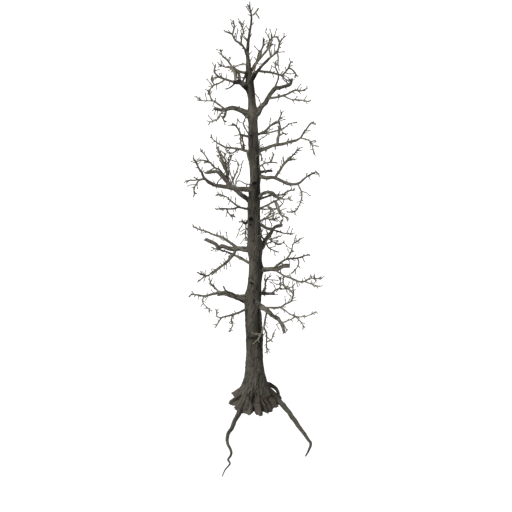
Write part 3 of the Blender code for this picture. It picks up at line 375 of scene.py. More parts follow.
# Plates of bark: how many round the trunk, how high one is, how far they step, and the fissures between.
PLATES_ROUND = 16
PLATE_HEIGHT = 0.42
PLATE_STEP = 0.010
PLATE_SEED = 12
# A plate's middle lies this far into its own cell at least, and up to this much further.
PLATE_INSET = 0.15
PLATE_ROAM = 0.7
FISSURE_DEPTH = 0.018
FISSURE_WIDTH = 0.11
# The trunk's own shade, how much plates differ, and how dark the painted shade in a fissure is.
TRUNK_SHADE = 0.60
PLATE_SHADE = 0.16
FISSURE_SHADOW = 0.30
# How much paler or darker the trunk is at a height: partly the bark's own tone, and partly painted
# shade, darkest at the shaded crotch from 11.4 to 11.75 m and under the ledge near 2.9 m.
TRUNK_TONE_AND_SHADE = (
    (0.0, -0.20), (1.0, -0.16), (2.4, -0.14), (2.9, -0.26), (3.6, -0.10), (4.6, -0.20), (5.8, -0.12),
    (7.0, -0.14), (8.6, -0.10), (9.6, -0.08), (10.1, -0.06), (10.7, 0.14), (11.2, 0.04), (11.40, -0.36),
    (11.75, -0.32), (12.0, -0.10), (12.5, 0.06), (14.0, 0.22),
)
# Streaks of painted shade down the bark, with a few dark cracks among them: lowest and highest height,
# bearing, width in degrees, and how dark.
SHADE_AND_CRACK_STREAKS = (
    (8.0, 9.7, 306, 9, 0.5), (2.1, 4.5, 318, 13, 0.5), (4.8, 5.9, 322, 12, 0.3), (6.0, 7.1, 312, 10, 0.35),
    (11.5, 11.9, 300, 20, 0.3), (9.85, 10.15, 262, 28, 0.45), (7.75, 8.3, 200, 18, 0.35),
    (7.9, 8.5, 280, 30, 0.3),
)
STREAK_END = 0.12

# The ragged ends of the flare's plates. The noise of their teeth only goes round; they fade upwards.
FLARE_TEETH = Grain(9.0, 1.0, 1.6, 21)
FINE_TEETH = Grain(30.0, 1.0, 0.45, 22)
TOOTH_REACH = 0.4
TOOTH_LENGTH = 0.055
TOOTH_FALL = 0.14
# The flare's small ridges, how they fade upwards, and how dark the painted shade in the dips between them is.
FLARE_RIDGES = Grain(8.0, 0.9, 1.0, 23)
RIDGE_HEIGHT = 0.040
RIDGE_FALL = 0.70
DIP_BELOW = -0.25
DIP_SHADOW = 0.10
# The flare's slits, cut in and darkened with painted shade: (bearing, depth, middle height, length, lean).
SLITS = (
    (170, 0.05, 0.20, 0.16, 10), (201, 0.06, 0.22, 0.18, 30), (228, 0.07, 0.35, 0.20, 30),
    (243, 0.09, 0.58, 0.10, 40), (249, 0.08, 0.46, 0.09, -50), (262, 0.06, 0.42, 0.16, 6),
    (264, 0.04, 0.08, 0.10, 0), (291, 0.05, 0.10, 0.12, -5), (302, 0.09, 0.32, 0.10, -40),
    (307, 0.10, 0.20, 0.08, -40), (323, 0.05, 0.20, 0.16, -30), (255, 0.07, 0.95, 0.05, 0),
    (35, 0.07, 0.25, 0.18, 12), (82, 0.08, 0.28, 0.20, -10), (128, 0.07, 0.25, 0.20, 12),
    (350, 0.05, 0.30, 0.16, -20),
)
SLIT_WIDTH = 2.2
SLIT_BENDS = Grain(4.0, 0.2, 4.0, 25)
# How dark the painted shade in a slit is.
SLIT_SHADOW = 0.9

# Old branch holes in the trunk: (height, bearing, radius).
KNOT_HOLES = (
    (4.98, 248, 0.075), (7.24, 240, 0.085), (7.05, 236, 0.050), (8.46, 262, 0.085), (10.03, 240, 0.050),
    (3.35, 40, 0.070), (6.10, 120, 0.060), (8.10, 60, 0.055), (2.30, 150, 0.060),
)
# A hole's raised rim, its pit and the painted shade in its mouth, in the hole's own radii. A sharper one is
# narrower.
RIM_AT = 1.15
RIM_WIDTH = 0.35
RIM_HEIGHT = 0.22
PIT_DEPTH = 0.85
PIT_SHARPNESS = 1.3
MOUTH_SHADOW = 1.2
MOUTH_SHARPNESS = 1.15
# The trunk's swelling under each limb, in radii of the limb's foot.
COLLAR_REACH = 1.7
COLLAR_RISE = 0.40
# How dark the painted shadow under the torn ledge is.
LEDGE_SHADOW = 0.6

# A limb's bark: its noise and heights, in shares of its radius, and its shade, with painted light on bumps
# and painted shade in dents and furrows.
LIMB_SWELL = Grain(0.5, 0.20, 0.12, 3)
LIMB_LUMPS = Grain(1.1, 0.13, 0.14, 0)
LIMB_BUMPS = Grain(2.2, 0.055, 1.0, 1)
LIMB_FURROWS = Grain(2.6, 0.19, 1.0, 2)
BUMP_HEIGHT = 0.08
FURROW_DEPTH = 0.15
FURROW_WIDTH = 0.16
LIMB_SHADE = 0.62
BUMP_LIGHT_AND_SHADE = 0.30
FURROW_SHADOW = 0.50
# How much of a limb's relief a surface root has.
ROOT_RELIEF = 0.4

# A torn end: its splinters, the share of them in the ring before, the hollow in it and its dark edge.
SPLINTERS = Grain(2.4, 1.0, 0.055, 5)
SPLINTER_FOOT = 0.4
HOLLOW_WIDTH = 0.45
HOLLOW_DEPTH = 0.044
TORN_EDGE_SHADE = 0.4
# Limbs that end in a torn stub, and boughs that don't because a mass grows on from their tip.
STUBS = ("twigs_left_70", "twigs_left_106", "twigs_right_44", "twigs_front_44")
CARRIERS = {mass.carrier for mass in MASSES if mass.at == 1.0}

# Kinds of twig: foot and tip radius and sides of the mesh. Then, for those that grow by rule, their
# spacing along the line, (shortest, longest), and the share of the line that stays bare at its foot.
Kind = namedtuple("Kind", "foot tip sides spacing reach bare", defaults=(None, None, None))
OWN_TWIG = Kind(0.018, 0.010, 6)
SPRIG = Kind(0.0185, 0.0115, 5)
FINE_TWIG = Kind(0.0180, 0.0115, 5, 0.42, (0.11, 0.24), 0.14)
SPUR = Kind(0.0165, 0.0105, 4, 0.165, (0.06, 0.13), 0.08)
BOUGH_TWIG = Kind(0.0195, 0.0120, 5, 0.36, (0.07, 0.17), 0.22)
PEG = Kind(0.0250, 0.0190, 6, 0.44, (0.07, 0.12), 0.12)
# The first twig's place and the gaps to the next, both in spacings.
FIRST_FINE_TWIG = (0.1, 0.9)
FINE_SPREAD = (0.5, 1.5)
# A twig's bends: how many, how uneven, how far each turns it, and how much each turns it up.
TWIG_BENDS = 2
BEND_LENGTHS = (0.7, 1.3)
BEND = 0.15
UPTURN = 0.10
# Twigs leave a limb in a spiral, in degrees, leaning towards its tip, and shorter ones nearer to it.
SPIRAL = 137.5
SPIRAL_SLACK = 40.0
FORWARD_LEAN = (0.7, 1.4)
TIP_SHORTENING = 0.3
FORK_PLACES = (0.80, 0.93)
FORK_SLACK = 0.07
# Twigs on limbs shorter than this are shorter by as much.
FULL_TWIG_LENGTH = 0.55
# A thin twig's swelling at its foot, and its shade.
TWIG_SWELL = 1.5
TWIG_SHADE = 0.6
# The least radius of a stem or side.
LEAST_AXIS = 0.019
# How far finer twigs may stand out of their node's box, and how far inside the whole model's they stay.
NODE_MARGIN = 0.17
BOUGH_MARGIN = 0.10
SPRIG_MARGIN = 0.30
BOX_EDGE = 0.01

# Twigs that stand out on a limb, beside those that the rules grow. Each is the number of the host's
# axis, the part of the way along it, and legs of (length, angle), the angle anticlockwise from +X as
# seen from the front. On the trunk it is the height and the bearing at which the twig comes out.
SPRIGS = {
    "bough_left_62": ((0, 0.62, (0.11, 110)), (0, 0.85, (0.16, 75))),
    "bough_left_82": (
        (0, 0.80, (0.13, 268)), (0, 0.50, (0.15, 272)), (0, 0.80, (0.20, 125)), (0, 0.37, (0.14, 140)),
    ),
    "bough_left_114": ((0, 0.86, (0.24, 228), (0.10, 262)), (0, 0.86, (0.22, 226), (0.10, 170))),
    "bough_right_106": (
        (0, 0.20, (0.38, 111)), (0, 0.88, (0.28, 139)), (0, 0.80, (0.12, 300)), (0, 0.97, (0.13, 10)),
    ),
    "bough_right_95": (
        (0, 0.90, (0.11, 105)), (0, 0.86, (0.11, 262)), (0, 0.60, (0.15, 254)), (0, 0.30, (0.12, 275)),
    ),
    "bough_right_87": (
        (0, 0.30, (0.13, 250)), (0, 0.45, (0.18, 270)), (0, 0.68, (0.13, 268)), (0, 0.72, (0.15, 62)),
    ),
    "bough_right_60": (
        (0, 0.42, (0.27, 110), (0.10, 95)), (0, 0.50, (0.25, 105)), (0, 0.36, (0.30, 100), (0.12, 60)),
        (0, 0.30, (0.28, 112), (0.12, 130)), (0, 0.55, (0.17, 118), (0.10, 80)),
        (0, 0.46, (0.22, 350), (0.2, 355)), (0, 0.48, (0.32, 4), (0.10, 48)),
    ),
    "bough_front_44": ((0, 0.85, (0.22, 49)),),
    "twigs_left_44": (
        (0, 0.50, (0.14, 85)), (0, 0.90, (0.11, 115)), (0, 0.88, (0.12, 80)), (0, 0.72, (0.21, 262)),
        (2, 0.85, (0.17, 183)), (1, 0.55, (0.18, 79)), (1, 0.75, (0.09, 180)),
    ),
    "twigs_left_39": (
        (0, 0.88, (0.13, 100)), (1, 0.50, (0.09, 190)), (1, 0.35, (0.08, 350)), (1, 0.80, (0.09, 183)),
        (1, 0.90, (0.09, 340)), (0, 0.42, (0.16, 118)), (0, 0.66, (0.14, 250)),
    ),
    "twigs_left_62_up": (
        (0, 0.22, (0.35, 100)), (0, 0.35, (0.26, 101)), (0, 0.42, (0.16, 105)), (0, 0.82, (0.16, 100)),
        (0, 0.78, (0.13, 236)), (0, 0.88, (0.12, 247)), (0, 0.90, (0.11, 122)),
        (0, 0.06, (0.41, 88), (0.11, 42)),
    ),
    "twigs_left_62_down": (
        (0, 0.78, (0.24, 215), (0.14, 235)), (0, 0.80, (0.20, 125)), (0, 0.78, (0.22, 245)),
        (0, 0.76, (0.20, 150), (0.14, 118)), (0, 0.73, (0.20, 283)), (0, 0.64, (0.14, 110)),
        (0, 0.48, (0.16, 285)), (0, 0.42, (0.14, 120)), (0, 0.32, (0.18, 114)), (0, 0.25, (0.27, 287)),
        (0, 0.35, (0.22, 264)), (0, 0.30, (0.31, 270)), (0, 0.56, (0.15, 280)),
    ),
    "twigs_left_55": (
        (0, 0.85, (0.13, 233)), (0, 0.65, (0.17, 232)), (0, 0.57, (0.20, 241)), (0, 0.40, (0.18, 96)),
    ),
    "twigs_left_70": (
        (0, 0.85, (0.26, 241), (0.38, 248)), (1, 0.50, (0.14, 294)), (1, 0.30, (0.22, 215)),
        (1, 0.60, (0.23, 203)), (1, 0.80, (0.28, 230)), (1, 0.75, (0.19, 306)), (0, 0.90, (0.16, 110)),
    ),
    "twigs_left_75": (
        (0, 0.90, (0.11, 140)), (1, 0.75, (0.20, 105)), (1, 0.70, (0.11, 250)), (1, 0.20, (0.24, 88)),
        (1, 0.45, (0.18, 248)), (0, 0.72, (0.27, 258)), (2, 0.80, (0.17, 268)), (0, 0.50, (0.13, 262)),
    ),
    "twigs_left_78_out": ((0, 0.62, (0.20, 95)), (0, 0.24, (0.26, 88), (0.18, 106))),
    "twigs_left_78_up": (
        (2, 0.90, (0.26, 340)), (0, 0.80, (0.10, 198)), (0, 0.40, (0.24, 74)), (1, 0.60, (0.22, 128)),
    ),
    "twigs_left_82": (
        (0, 0.80, (0.19, 53)), (0, 0.72, (0.19, 43)), (1, 0.50, (0.20, 188), (0.10, 208)),
        (2, 0.45, (0.10, 75)), (1, 0.80, (0.12, 300)),
    ),
    "twigs_left_95": (
        (0, 0.60, (0.11, 100)), (0, 0.35, (0.08, 120)), (0, 0.95, (0.14, 95)), (0, 0.85, (0.19, 84)),
        (0, 0.88, (0.13, 210)),
    ),
    "twigs_left_100": (
        (0, 0.50, (0.22, 186)), (0, 0.35, (0.15, 90)), (0, 0.80, (0.22, 82)), (2, 0.60, (0.15, 182)),
    ),
    "twigs_left_106": (
        (1, 0.62, (0.24, 104)), (2, 0.80, (0.23, 136)), (0, 0.90, (0.20, 254)), (0, 0.75, (0.21, 262)),
        (1, 0.40, (0.18, 250)),
    ),
    "twigs_left_114": ((1, 0.70, (0.29, 127)), (0, 0.15, (0.16, 252)), (0, 0.30, (0.16, 84))),
    "twigs_left_114_up": (
        (1, 0.90, (0.19, 92)), (1, 0.80, (0.17, 112)), (1, 0.50, (0.15, 27), (0.12, 26), (0.13, 8)),
        (0, 0.25, (0.15, 341), (0.10, 342)), (0, 0.60, (0.18, 60)),
    ),
    "twigs_top_left": (
        (1, 0.80, (0.17, 126)), (2, 0.50, (0.18, 123)), (2, 0.55, (0.11, 43)), (0, 0.60, (0.33, 79)),
        (1, 0.60, (0.20, 57)), (1, 0.70, (0.17, 68)), (0, 0.30, (0.16, 150)),
    ),
    "twigs_right_119": (
        (1, 0.90, (0.28, 110)), (1, 0.97, (0.24, 70)), (1, 0.80, (0.30, 120), (0.12, 80)),
        (0, 0.83, (0.26, 88)), (0, 0.72, (0.24, 66), (0.12, 30)), (1, 0.93, (0.20, 15)),
        (0, 0.65, (0.25, 133)), (0, 0.80, (0.20, 47)), (1, 0.85, (0.21, 96)), (1, 0.72, (0.30, 93)),
        (1, 0.60, (0.20, 35)), (1, 0.50, (0.26, 82)), (0, 0.50, (0.22, 76)),
    ),
    "twigs_right_116": (
        (0, 0.70, (0.17, 114)), (0, 0.60, (0.16, 44)), (0, 0.10, (0.20, 90)), (0, 0.35, (0.25, 3)),
        (2, 0.80, (0.24, 282)), (0, 0.24, (0.28, 84)),
    ),
    "twigs_right_116_low": (
        (0, 0.60, (0.22, 328)), (0, 0.34, (0.16, 290)), (0, 0.55, (0.14, 318), (0.16, 330)),
        (0, 0.60, (0.16, 300), (0.12, 335)), (0, 0.66, (0.18, 350), (0.12, 10)),
        (0, 0.52, (0.22, 325), (0.14, 300)),
    ),
    "twigs_right_106": (
        (0, 0.75, (0.22, 55)), (0, 0.78, (0.14, 313)), (1, 0.80, (0.18, 58)), (1, 0.35, (0.17, 304)),
        (0, 0.30, (0.18, 250)),
    ),
    "twigs_right_100": (
        (0, 0.38, (0.14, 285), (0.14, 222), (0.18, 207), (0.12, 220)), (0, 0.50, (0.29, 84)),
        (0, 0.75, (0.30, 24)), (0, 0.85, (0.19, 22)), (1, 0.20, (0.11, 292), (0.25, 220), (0.13, 213)),
        (1, 0.60, (0.15, 280)),
    ),
    "twigs_right_95": ((1, 0.60, (0.27, 341)), (0, 0.40, (0.15, 12)), (1, 0.80, (0.12, 200))),
    "twigs_right_87": (
        (1, 0.98, (0.27, 201), (0.12, 180)), (1, 0.85, (0.12, 130), (0.06, 80)), (1, 0.82, (0.16, 300)),
        (0, 0.45, (0.13, 88)), (0, 0.55, (0.16, 294)), (1, 0.20, (0.16, 341), (0.17, 320)),
        (1, 0.50, (0.14, 345)), (1, 0.75, (0.16, 250)),
    ),
    "twigs_right_87_up": ((0, 0.75, (0.11, 10)), (0, 0.90, (0.19, 10)), (0, 0.25, (0.14, 95))),
    "twigs_right_78": (
        (0, 0.60, (0.10, 66)), (0, 0.85, (0.17, 39)), (0, 0.92, (0.16, 88)), (0, 0.97, (0.12, 60)),
        (0, 0.35, (0.17, 84)), (0, 0.45, (0.15, 290)),
    ),
    "twigs_right_75": (
        (0, 0.30, (0.22, 260)), (0, 0.40, (0.26, 313)), (3, 0.40, (0.27, 23)), (3, 0.30, (0.23, 212)),
        (3, 0.60, (0.23, 346)), (2, 0.50, (0.24, 211)), (0, 0.55, (0.20, 92)),
    ),
    "twigs_right_71": (
        (0, 0.20, (0.17, 60), (0.14, 22), (0.19, 90), (0.18, 110)), (0, 0.48, (0.25, 270)),
        (0, 0.30, (0.20, 20), (0.22, 12), (0.14, 330)), (0, 0.40, (0.22, 248)), (0, 0.60, (0.25, 299)),
        (0, 0.70, (0.30, 66)), (0, 0.85, (0.25, 324)),
    ),
    "twigs_right_70": (
        (0, 0.85, (0.27, 70)), (0, 0.95, (0.22, 74)), (0, 0.45, (0.22, 84)), (0, 0.60, (0.18, 262)),
    ),
    "twigs_right_60": ((0, 0.60, (0.14, 268)), (1, 0.60, (0.14, 84))),
    "twigs_right_54_up": (
        (1, 0.40, (0.22, 158)), (1, 0.60, (0.33, 77)), (1, 0.75, (0.11, 345)), (1, 0.30, (0.15, 17)),
        (0, 0.80, (0.23, 294)), (2, 0.50, (0.17, 313)), (0, 0.45, (0.18, 280)),
    ),
    "twigs_right_54_low": (
        (0, 0.80, (0.15, 95)), (0, 0.88, (0.19, 100)), (0, 0.93, (0.16, 40)), (0, 0.68, (0.15, 120)),
        (1, 0.60, (0.17, 60)), (1, 0.80, (0.14, 300)), (1, 0.40, (0.15, 70)), (0, 0.60, (0.14, 100)),
        (0, 0.86, (0.18, 300)), (0, 0.40, (0.21, 260)), (0, 0.45, (0.26, 286)), (0, 0.50, (0.18, 288)),
        (0, 0.15, (0.21, 58)), (0, 0.34, (0.20, 98)), (0, 0.75, (0.18, 74)),
    ),
    "twigs_right_44": (
        (1, 0.30, (0.24, 112), (0.18, 140)), (1, 0.75, (0.26, 318), (0.28, 330), (0.15, 300)),
        (1, 0.90, (0.25, 20)), (1, 0.50, (0.22, 235)), (2, 0.60, (0.22, 50), (0.16, 75)),
        (2, 0.80, (0.20, 290), (0.24, 312)), (1, 0.96, (0.20, 150)), (2, 0.95, (0.22, 15), (0.12, 60)),
        (1, 0.65, (0.18, 168), (0.16, 130)), (0, 0.45, (0.25, 72), (0.25, 93), (0.25, 90)),
        (0, 0.47, (0.25, 72), (0.15, 93), (0.43, 63)), (1, 0.50, (0.16, 340)),
    ),
    "twigs_front_44": ((0, 0.30, (0.16, 214), (0.18, 296)),),
    "twigs_front_44_right": (
        (0, 0.70, (0.18, 20)), (0, 0.65, (0.20, 355)), (0, 0.50, (0.31, 94)), (1, 0.65, (0.10, 290)),
        (1, 0.10, (0.15, 281)), (1, 0.40, (0.18, 84)),
    ),
    "twigs_front_44_hang": (
        (0, 0.60, (0.30, 313)), (2, 0.70, (0.32, 172)), (2, 0.97, (0.23, 221)), (0, 0.30, (0.20, 240)),
    ),
    "trunk": (
        (12.88, 170, (0.26, 131), (0.14, 92)), (12.74, 180, (0.15, 152)), (12.60, 200, (0.18, 118)),
        (12.50, 10, (0.14, 45)), (10.25, 185, (0.14, 130)), (13.34, 5, (0.10, 50)),
        (13.68, 150, (0.22, 124)), (13.78, 165, (0.13, 117)), (13.72, 20, (0.13, 63)),
        (13.20, 185, (0.15, 127)), (13.00, 15, (0.12, 60)), (12.30, 335, (0.17, 62)),
        (13.86, 200, (0.10, 140)), (12.92, 180, (0.17, 129)), (11.82, 185, (0.12, 178), (0.12, 155)),
        (13.56, 20, (0.11, 40)), (13.60, 170, (0.10, 160)), (7.24, 262, (0.06, 80), (0.22, 73), (0.24, 37)),
        (7.30, 285, (0.06, 80), (0.29, 311)), (6.62, 296, (0.06, 60), (0.33, 12)),
        (6.02, 250, (0.05, 80), (0.20, 230)), (4.92, 272, (0.06, 80), (0.22, 140)),
        (8.62, 255, (0.05, 80), (0.16, 250), (0.14, 214)), (9.28, 282, (0.05, 80), (0.20, 48)),
    ),
}
# How far sprigs lean out of the plane of the front view, and the least length of those that fork.
SPRIG_LEAN = 24
FORKED_SPRIG = 0.22
SPRIG_STEP = 0.09
SPRIG_KINK = 0.006
# A twig set on the trunk starts at this share of its radius.
SPRIG_SEAT = 0.92

# Stout broken stubs: the host's axis, the part of the way along it, foot and tip radius, then legs.
STOUT_STUBS = {
    "bough_left_78": (
        (0, 0.36, 0.026, 0.014, (0.52, 107), (0.48, 105), (0.32, 123), (0.26, 119)),
        (0, 0.40, 0.026, 0.014, (0.45, 113), (0.44, 116), (0.35, 112)),
    ),
    "bough_left_82": (
        (0, 0.40, 0.024, 0.014, (0.27, 88), (0.20, 62), (0.22, 73), (0.26, 76)),
        (0, 0.19, 0.022, 0.016, (0.18, 75)), (0, 0.79, 0.024, 0.016, (0.14, 70), (0.18, 48)),
    ),
    "twigs_left_106": (
        (3, 0.0, 0.036, 0.024, (0.20, 262), (0.12, 235)), (2, 0.05, 0.030, 0.020, (0.22, 225), (0.20, 240)),
        (1, 0.0, 0.030, 0.020, (0.15, 140), (0.13, 143), (0.14, 140)),
    ),
    "twigs_left_44": ((1, 0.0, 0.028, 0.018, (0.19, 134), (0.19, 134), (0.14, 115)),),
    "twigs_right_87_up": ((0, 0.02, 0.044, 0.034, (0.30, 58), (0.28, 57), (0.24, 48)),),
    "twigs_right_100": (
        (0, 0.02, 0.040, 0.026, (0.36, 24), (0.27, 44), (0.23, 34)),
        (1, 0.02, 0.030, 0.022, (0.23, 6), (0.25, 15), (0.25, 17)),
    ),
    "bough_left_114": (
        (0, 0.90, 0.046, 0.036, (0.20, 92), (0.16, 108), (0.12, 140)),
        (0, 0.86, 0.026, 0.015, (0.22, 222), (0.17, 204)), (0, 0.57, 0.034, 0.028, (0.24, 66), (0.15, 77)),
    ),
    "bough_right_106": (
        (0, 0.60, 0.034, 0.022, (0.31, 68), (0.18, 80)),
        (0, 0.22, 0.016, 0.011, (0.20, 100), (0.16, 118), (0.10, 130)),
    ),
    "twigs_right_119": (
        (0, 0.08, 0.052, 0.036, (0.25, 59), (0.24, 57), (0.22, 73)),
        (1, 0.02, 0.036, 0.024, (0.20, 49), (0.20, 52), (0.24, 52), (0.20, 66)),
    ),
    "twigs_right_54_low": ((0, 0.14, 0.022, 0.014, (0.16, 95), (0.12, 80)),),
    "bough_right_95": (
        (0, 0.50, 0.026, 0.020, (0.15, 275)), (0, 0.78, 0.024, 0.018, (0.12, 280)),
        (0, 0.77, 0.024, 0.018, (0.14, 65)), (0, 0.27, 0.024, 0.018, (0.11, 278)),
    ),
    "bough_right_60": (
        (0, 0.30, 0.022, 0.014, (0.22, 118), (0.20, 95), (0.12, 80)),
        (0, 0.38, 0.022, 0.014, (0.20, 125), (0.25, 92), (0.10, 110)),
        (0, 0.42, 0.020, 0.013, (0.16, 140), (0.18, 100), (0.10, 60)),
        (0, 0.50, 0.020, 0.012, (0.14, 340), (0.16, 20), (0.12, 5), (0.10, 40)),
        (0, 0.46, 0.022, 0.013, (0.16, 335), (0.14, 320), (0.14, 325), (0.12, 10)),
    ),
    "twigs_right_95_up": ((0, 0.0, 0.044, 0.034, (0.18, 92), (0.18, 76), (0.25, 92)),),
    "twigs_right_70": ((0, 0.02, 0.060, 0.050, (0.24, 340), (0.19, 326), (0.22, 345)),),
    "twigs_right_71": (
        (0, 0.25, 0.034, 0.020, (0.18, 25), (0.20, 20), (0.10, 48), (0.13, 93), (0.13, 124)),
        (0, 0.52, 0.022, 0.014, (0.20, 60), (0.15, 350), (0.14, 5)),
    ),
    "twigs_right_75": (
        (0, 0.68, 0.034, 0.026, (0.17, 300), (0.22, 286), (0.14, 290), (0.12, 340), (0.12, 330), (0.07, 270)),
        (0, 0.17, 0.026, 0.016, (0.22, 356), (0.35, 5), (0.15, 29), (0.17, 56), (0.09, 80)),
    ),
    "bough_left_44": ((0, 0.97, 0.034, 0.026, (0.25, 112)),),
    "twigs_left_62_up": ((0, 0.02, 0.054, 0.034, (0.34, 140), (0.24, 143), (0.24, 158)),),
    "twigs_left_62_down": ((0, 0.03, 0.038, 0.020, (0.17, 248), (0.34, 232), (0.38, 221), (0.38, 223)),),
    "twigs_left_55": ((0, 0.02, 0.054, 0.032, (0.18, 156), (0.33, 151), (0.26, 147)),),
    "bough_right_79": ((0, 0.20, 0.062, 0.046, (0.20, 40), (0.19, 8), (0.20, 325), (0.19, 328)),),
    "twigs_left_82": ((0, 0.60, 0.020, 0.015, (0.09, 180)),),
    "twigs_right_44": (
        (0, 0.28, 0.050, 0.044, (0.50, 359)), (0, 0.36, 0.040, 0.022, (0.24, 62), (0.24, 84), (0.14, 105)),
        (0, 0.37, 0.020, 0.014, (0.22, 62), (0.33, 86), (0.14, 5), (0.16, 358), (0.14, 352)),
        (0, 0.37, 0.018, 0.013, (0.22, 62), (0.36, 82), (0.22, 38)),
    ),
}
# Stout twigs out of the trunk: height, bearing, foot and tip radius, then legs.
TRUNK_STUBS = (
    (11.95, 195, 0.050, 0.038, (0.20, 165), (0.20, 160), (0.12, 150)),
    (12.20, 195, 0.018, 0.013, (0.16, 182), (0.14, 190), (0.14, 215), (0.10, 262)),
    (10.07, 195, 0.026, 0.016, (0.14, 126), (0.24, 114), (0.19, 70), (0.15, 96), (0.12, 162)),
    (10.07, 195, 0.018, 0.012, (0.14, 126), (0.24, 114), (0.14, 155), (0.10, 120)),
    (11.78, 275, 0.026, 0.018, (0.18, 60), (0.22, 68), (0.30, 78)),
    (11.50, 205, 0.022, 0.014, (0.14, 130), (0.12, 60)),
    (9.50, 190, 0.055, 0.030, (0.05, 190), (0.15, 275), (0.25, 285)),
    (8.40, 190, 0.024, 0.014, (0.16, 172), (0.20, 150), (0.10, 190)),
)
# Stubs with more legs than these are twig-coloured, and carry spurs.
PLAIN_LEGS = 2
SPURLESS_LEGS = 1

# How much lighter or darker than the others a limb's bark is, on the scale of its relief: partly its own
# tone, and partly painted shade where a limb lies in shadow.
LIMB_TONE_AND_SHADE = {
    "bough_left_38": -0.24, "bough_left_44": -0.12, "bough_left_62": -0.20, "bough_left_78": -0.18,
    "bough_left_82": -0.06, "bough_left_106": -0.04, "bough_left_114": -0.46, "bough_right_116": -0.28,
    "bough_right_106": -0.16, "bough_right_95": 0.08, "bough_right_88": -0.20, "bough_right_87": -0.08,
    "bough_right_79": -0.34, "bough_right_60": 0.02, "bough_right_54": -0.22, "bough_front_44": -0.24,
    "twigs_left_62_up": -0.22, "twigs_left_55": -0.22, "twigs_left_70": -0.28, "twigs_left_78_up": 0.16,
    "twigs_left_95": -0.24, "twigs_left_100": -0.14, "twigs_left_106": -0.18, "twigs_left_114": 0.16,
    "twigs_right_95_up": -0.20, "twigs_right_87": -0.20, "twigs_right_75": -0.22, "twigs_right_71": -0.24,
    "twigs_right_70": -0.24, "twigs_right_54_up": -0.14, "twigs_right_44": -0.10,
}
OTHER_TONE = -0.06
# How far the painted shadow at a crotch runs out along some limbs, in metres, and how dark it is at the
# trunk.
CROTCH_SHADOW_REACH = {
    "bough_left_114": 0.68, "bough_front_44": 0.30, "twigs_left_70": 0.40, "bough_left_78": 0.20,
    "bough_left_38": 0.40, "bough_right_88": 0.25, "bough_right_116": 0.40,
}
CROTCH_SHADOW = 1.1
CROTCH_SHADOW_FADE = 1.7
DARKEST = -0.7

# Who takes up space in the crown: a mass by its own number, and the others from these on.
TRUNK_OWNER = -1
BOUGH_OWNER = -100
MOST_BARS = 60000
# Where twigs may grow: whose they are, the box they stay in, and the crown they keep clear of.
Room = namedtuple("Room", "owner low high crown")
# Keeps a division from failing.
TINY = 1e-12
# Large odd numbers that scramble a place into a repeatable random number, and the bits that are kept.
SCRAMBLE_X = 374761393
SCRAMBLE_Y = 668265263
SCRAMBLE_Z = 1274126177
SCRAMBLE_SEED = 97471
SCRAMBLE_AGAIN = 1103515245
KEPT_BITS = 0x7FFFFFFF
LAST_BITS = 0xFFFF

# Material slots of a limb's piece: bough bark, then the twig colours, then torn wood.
TWIG_SLOTS = (1, 2, 3, 4)
STUB_SLOT = 5
# Seeds of the noise in each kind of piece, and how far they go up from one piece to the next.
LEADER_SEED = 41
TRUNK_STUB_SEED = 43
ROOT_SEED = 60
ARCH_SEED = 64
BOUGH_SEED = 80
BOUGH_SEED_STEP = 3
MASS_SEED_STEP = 7

# Colours, as linear RGB.
TRUNK_SHADES = ((0.009, 0.008, 0.006), (0.037, 0.034, 0.027), (0.080, 0.074, 0.060))
BOUGH_SHADES = ((0.014, 0.012, 0.009), (0.056, 0.052, 0.041), (0.115, 0.107, 0.086))
ROOT_SHADES = ((0.009, 0.008, 0.006), (0.029, 0.027, 0.021), (0.052, 0.049, 0.039))
RED_PATCH = (0.044, 0.033, 0.026)
GREY_PATCH = (0.075, 0.071, 0.060)
OLIVE_PATCH = (0.032, 0.031, 0.022)
TWIG_COLOURS = (
    ("twig_olive", (0.090, 0.084, 0.058)), ("twig_grey", (0.110, 0.103, 0.083)),
    ("twig_brown", (0.078, 0.069, 0.052)), ("twig_pale", (0.140, 0.130, 0.102)),
)
TORN_WOOD = (0.009, 0.008, 0.007)
# The near-black of painted shadow, into which bark passes below its crevice colour.
PAINTED_SHADOW_COLOUR = (0.0025, 0.0023, 0.0021)
BARK_SPECULAR = 0.15
BARK_WRINKLES = 0.7
# How much fine streaks change bark's shade, and the spans of shade over which its colours pass into
# each other: painted shadow to crevice, crevice to face, face to ridge.
STREAK_CONTRAST = 0.9
DEEP_SPAN = (-0.45, 0.05)
FACE_SPAN = (0.05, 0.42)
RIDGE_SPAN = (0.50, 0.95)
# Patches come in over this span of broad noise. Where they have a top, they fade from this share of it up.
PATCH_SPAN = (0.50, 0.66)
PATCH_FADE_STARTS = 0.4
FAINT_PATCH = 0.12
TWIG_ROUGHNESS = 0.88
TWIG_MOTTLE = 0.72
MOTTLE_SPAN = (0.35, 0.65)
TWIG_WRINKLES = 0.5
TWIG_WRINKLE_HEIGHT = 0.002

# The stage.
FLOOR_RADIUS = 500.0
FLOOR_CORNERS = 96
FLOOR_GAP = 0.001
FLOOR_COLOUR = (0.12, 0.12, 0.12)
FLOOR_GLOW = 0.96
SKY_COLOUR = (1.0, 1.0, 1.0)
SKY_STRENGTH = 1.0
KEY_STRENGTH = 6.0
KEY_SOFTNESS = 30.0
KEY_BEARING = 215.0
KEY_RISE = 50.0
CAMERA_PLACE = (0.02, -21.97, 15.61)
CAMERA_DOWN = 23.9
LENS = 50.0


# ---------------------------------------------------------------- lines through space
def between(stations, height):
    """The value at a height, read from a row of (height, value) stations."""
    for (low, first), (high, second) in zip(stations, stations[1:]):
        if height <= high:
            return first + (second - first) * (height - low) / (high - low)
    return stations[-1][1]


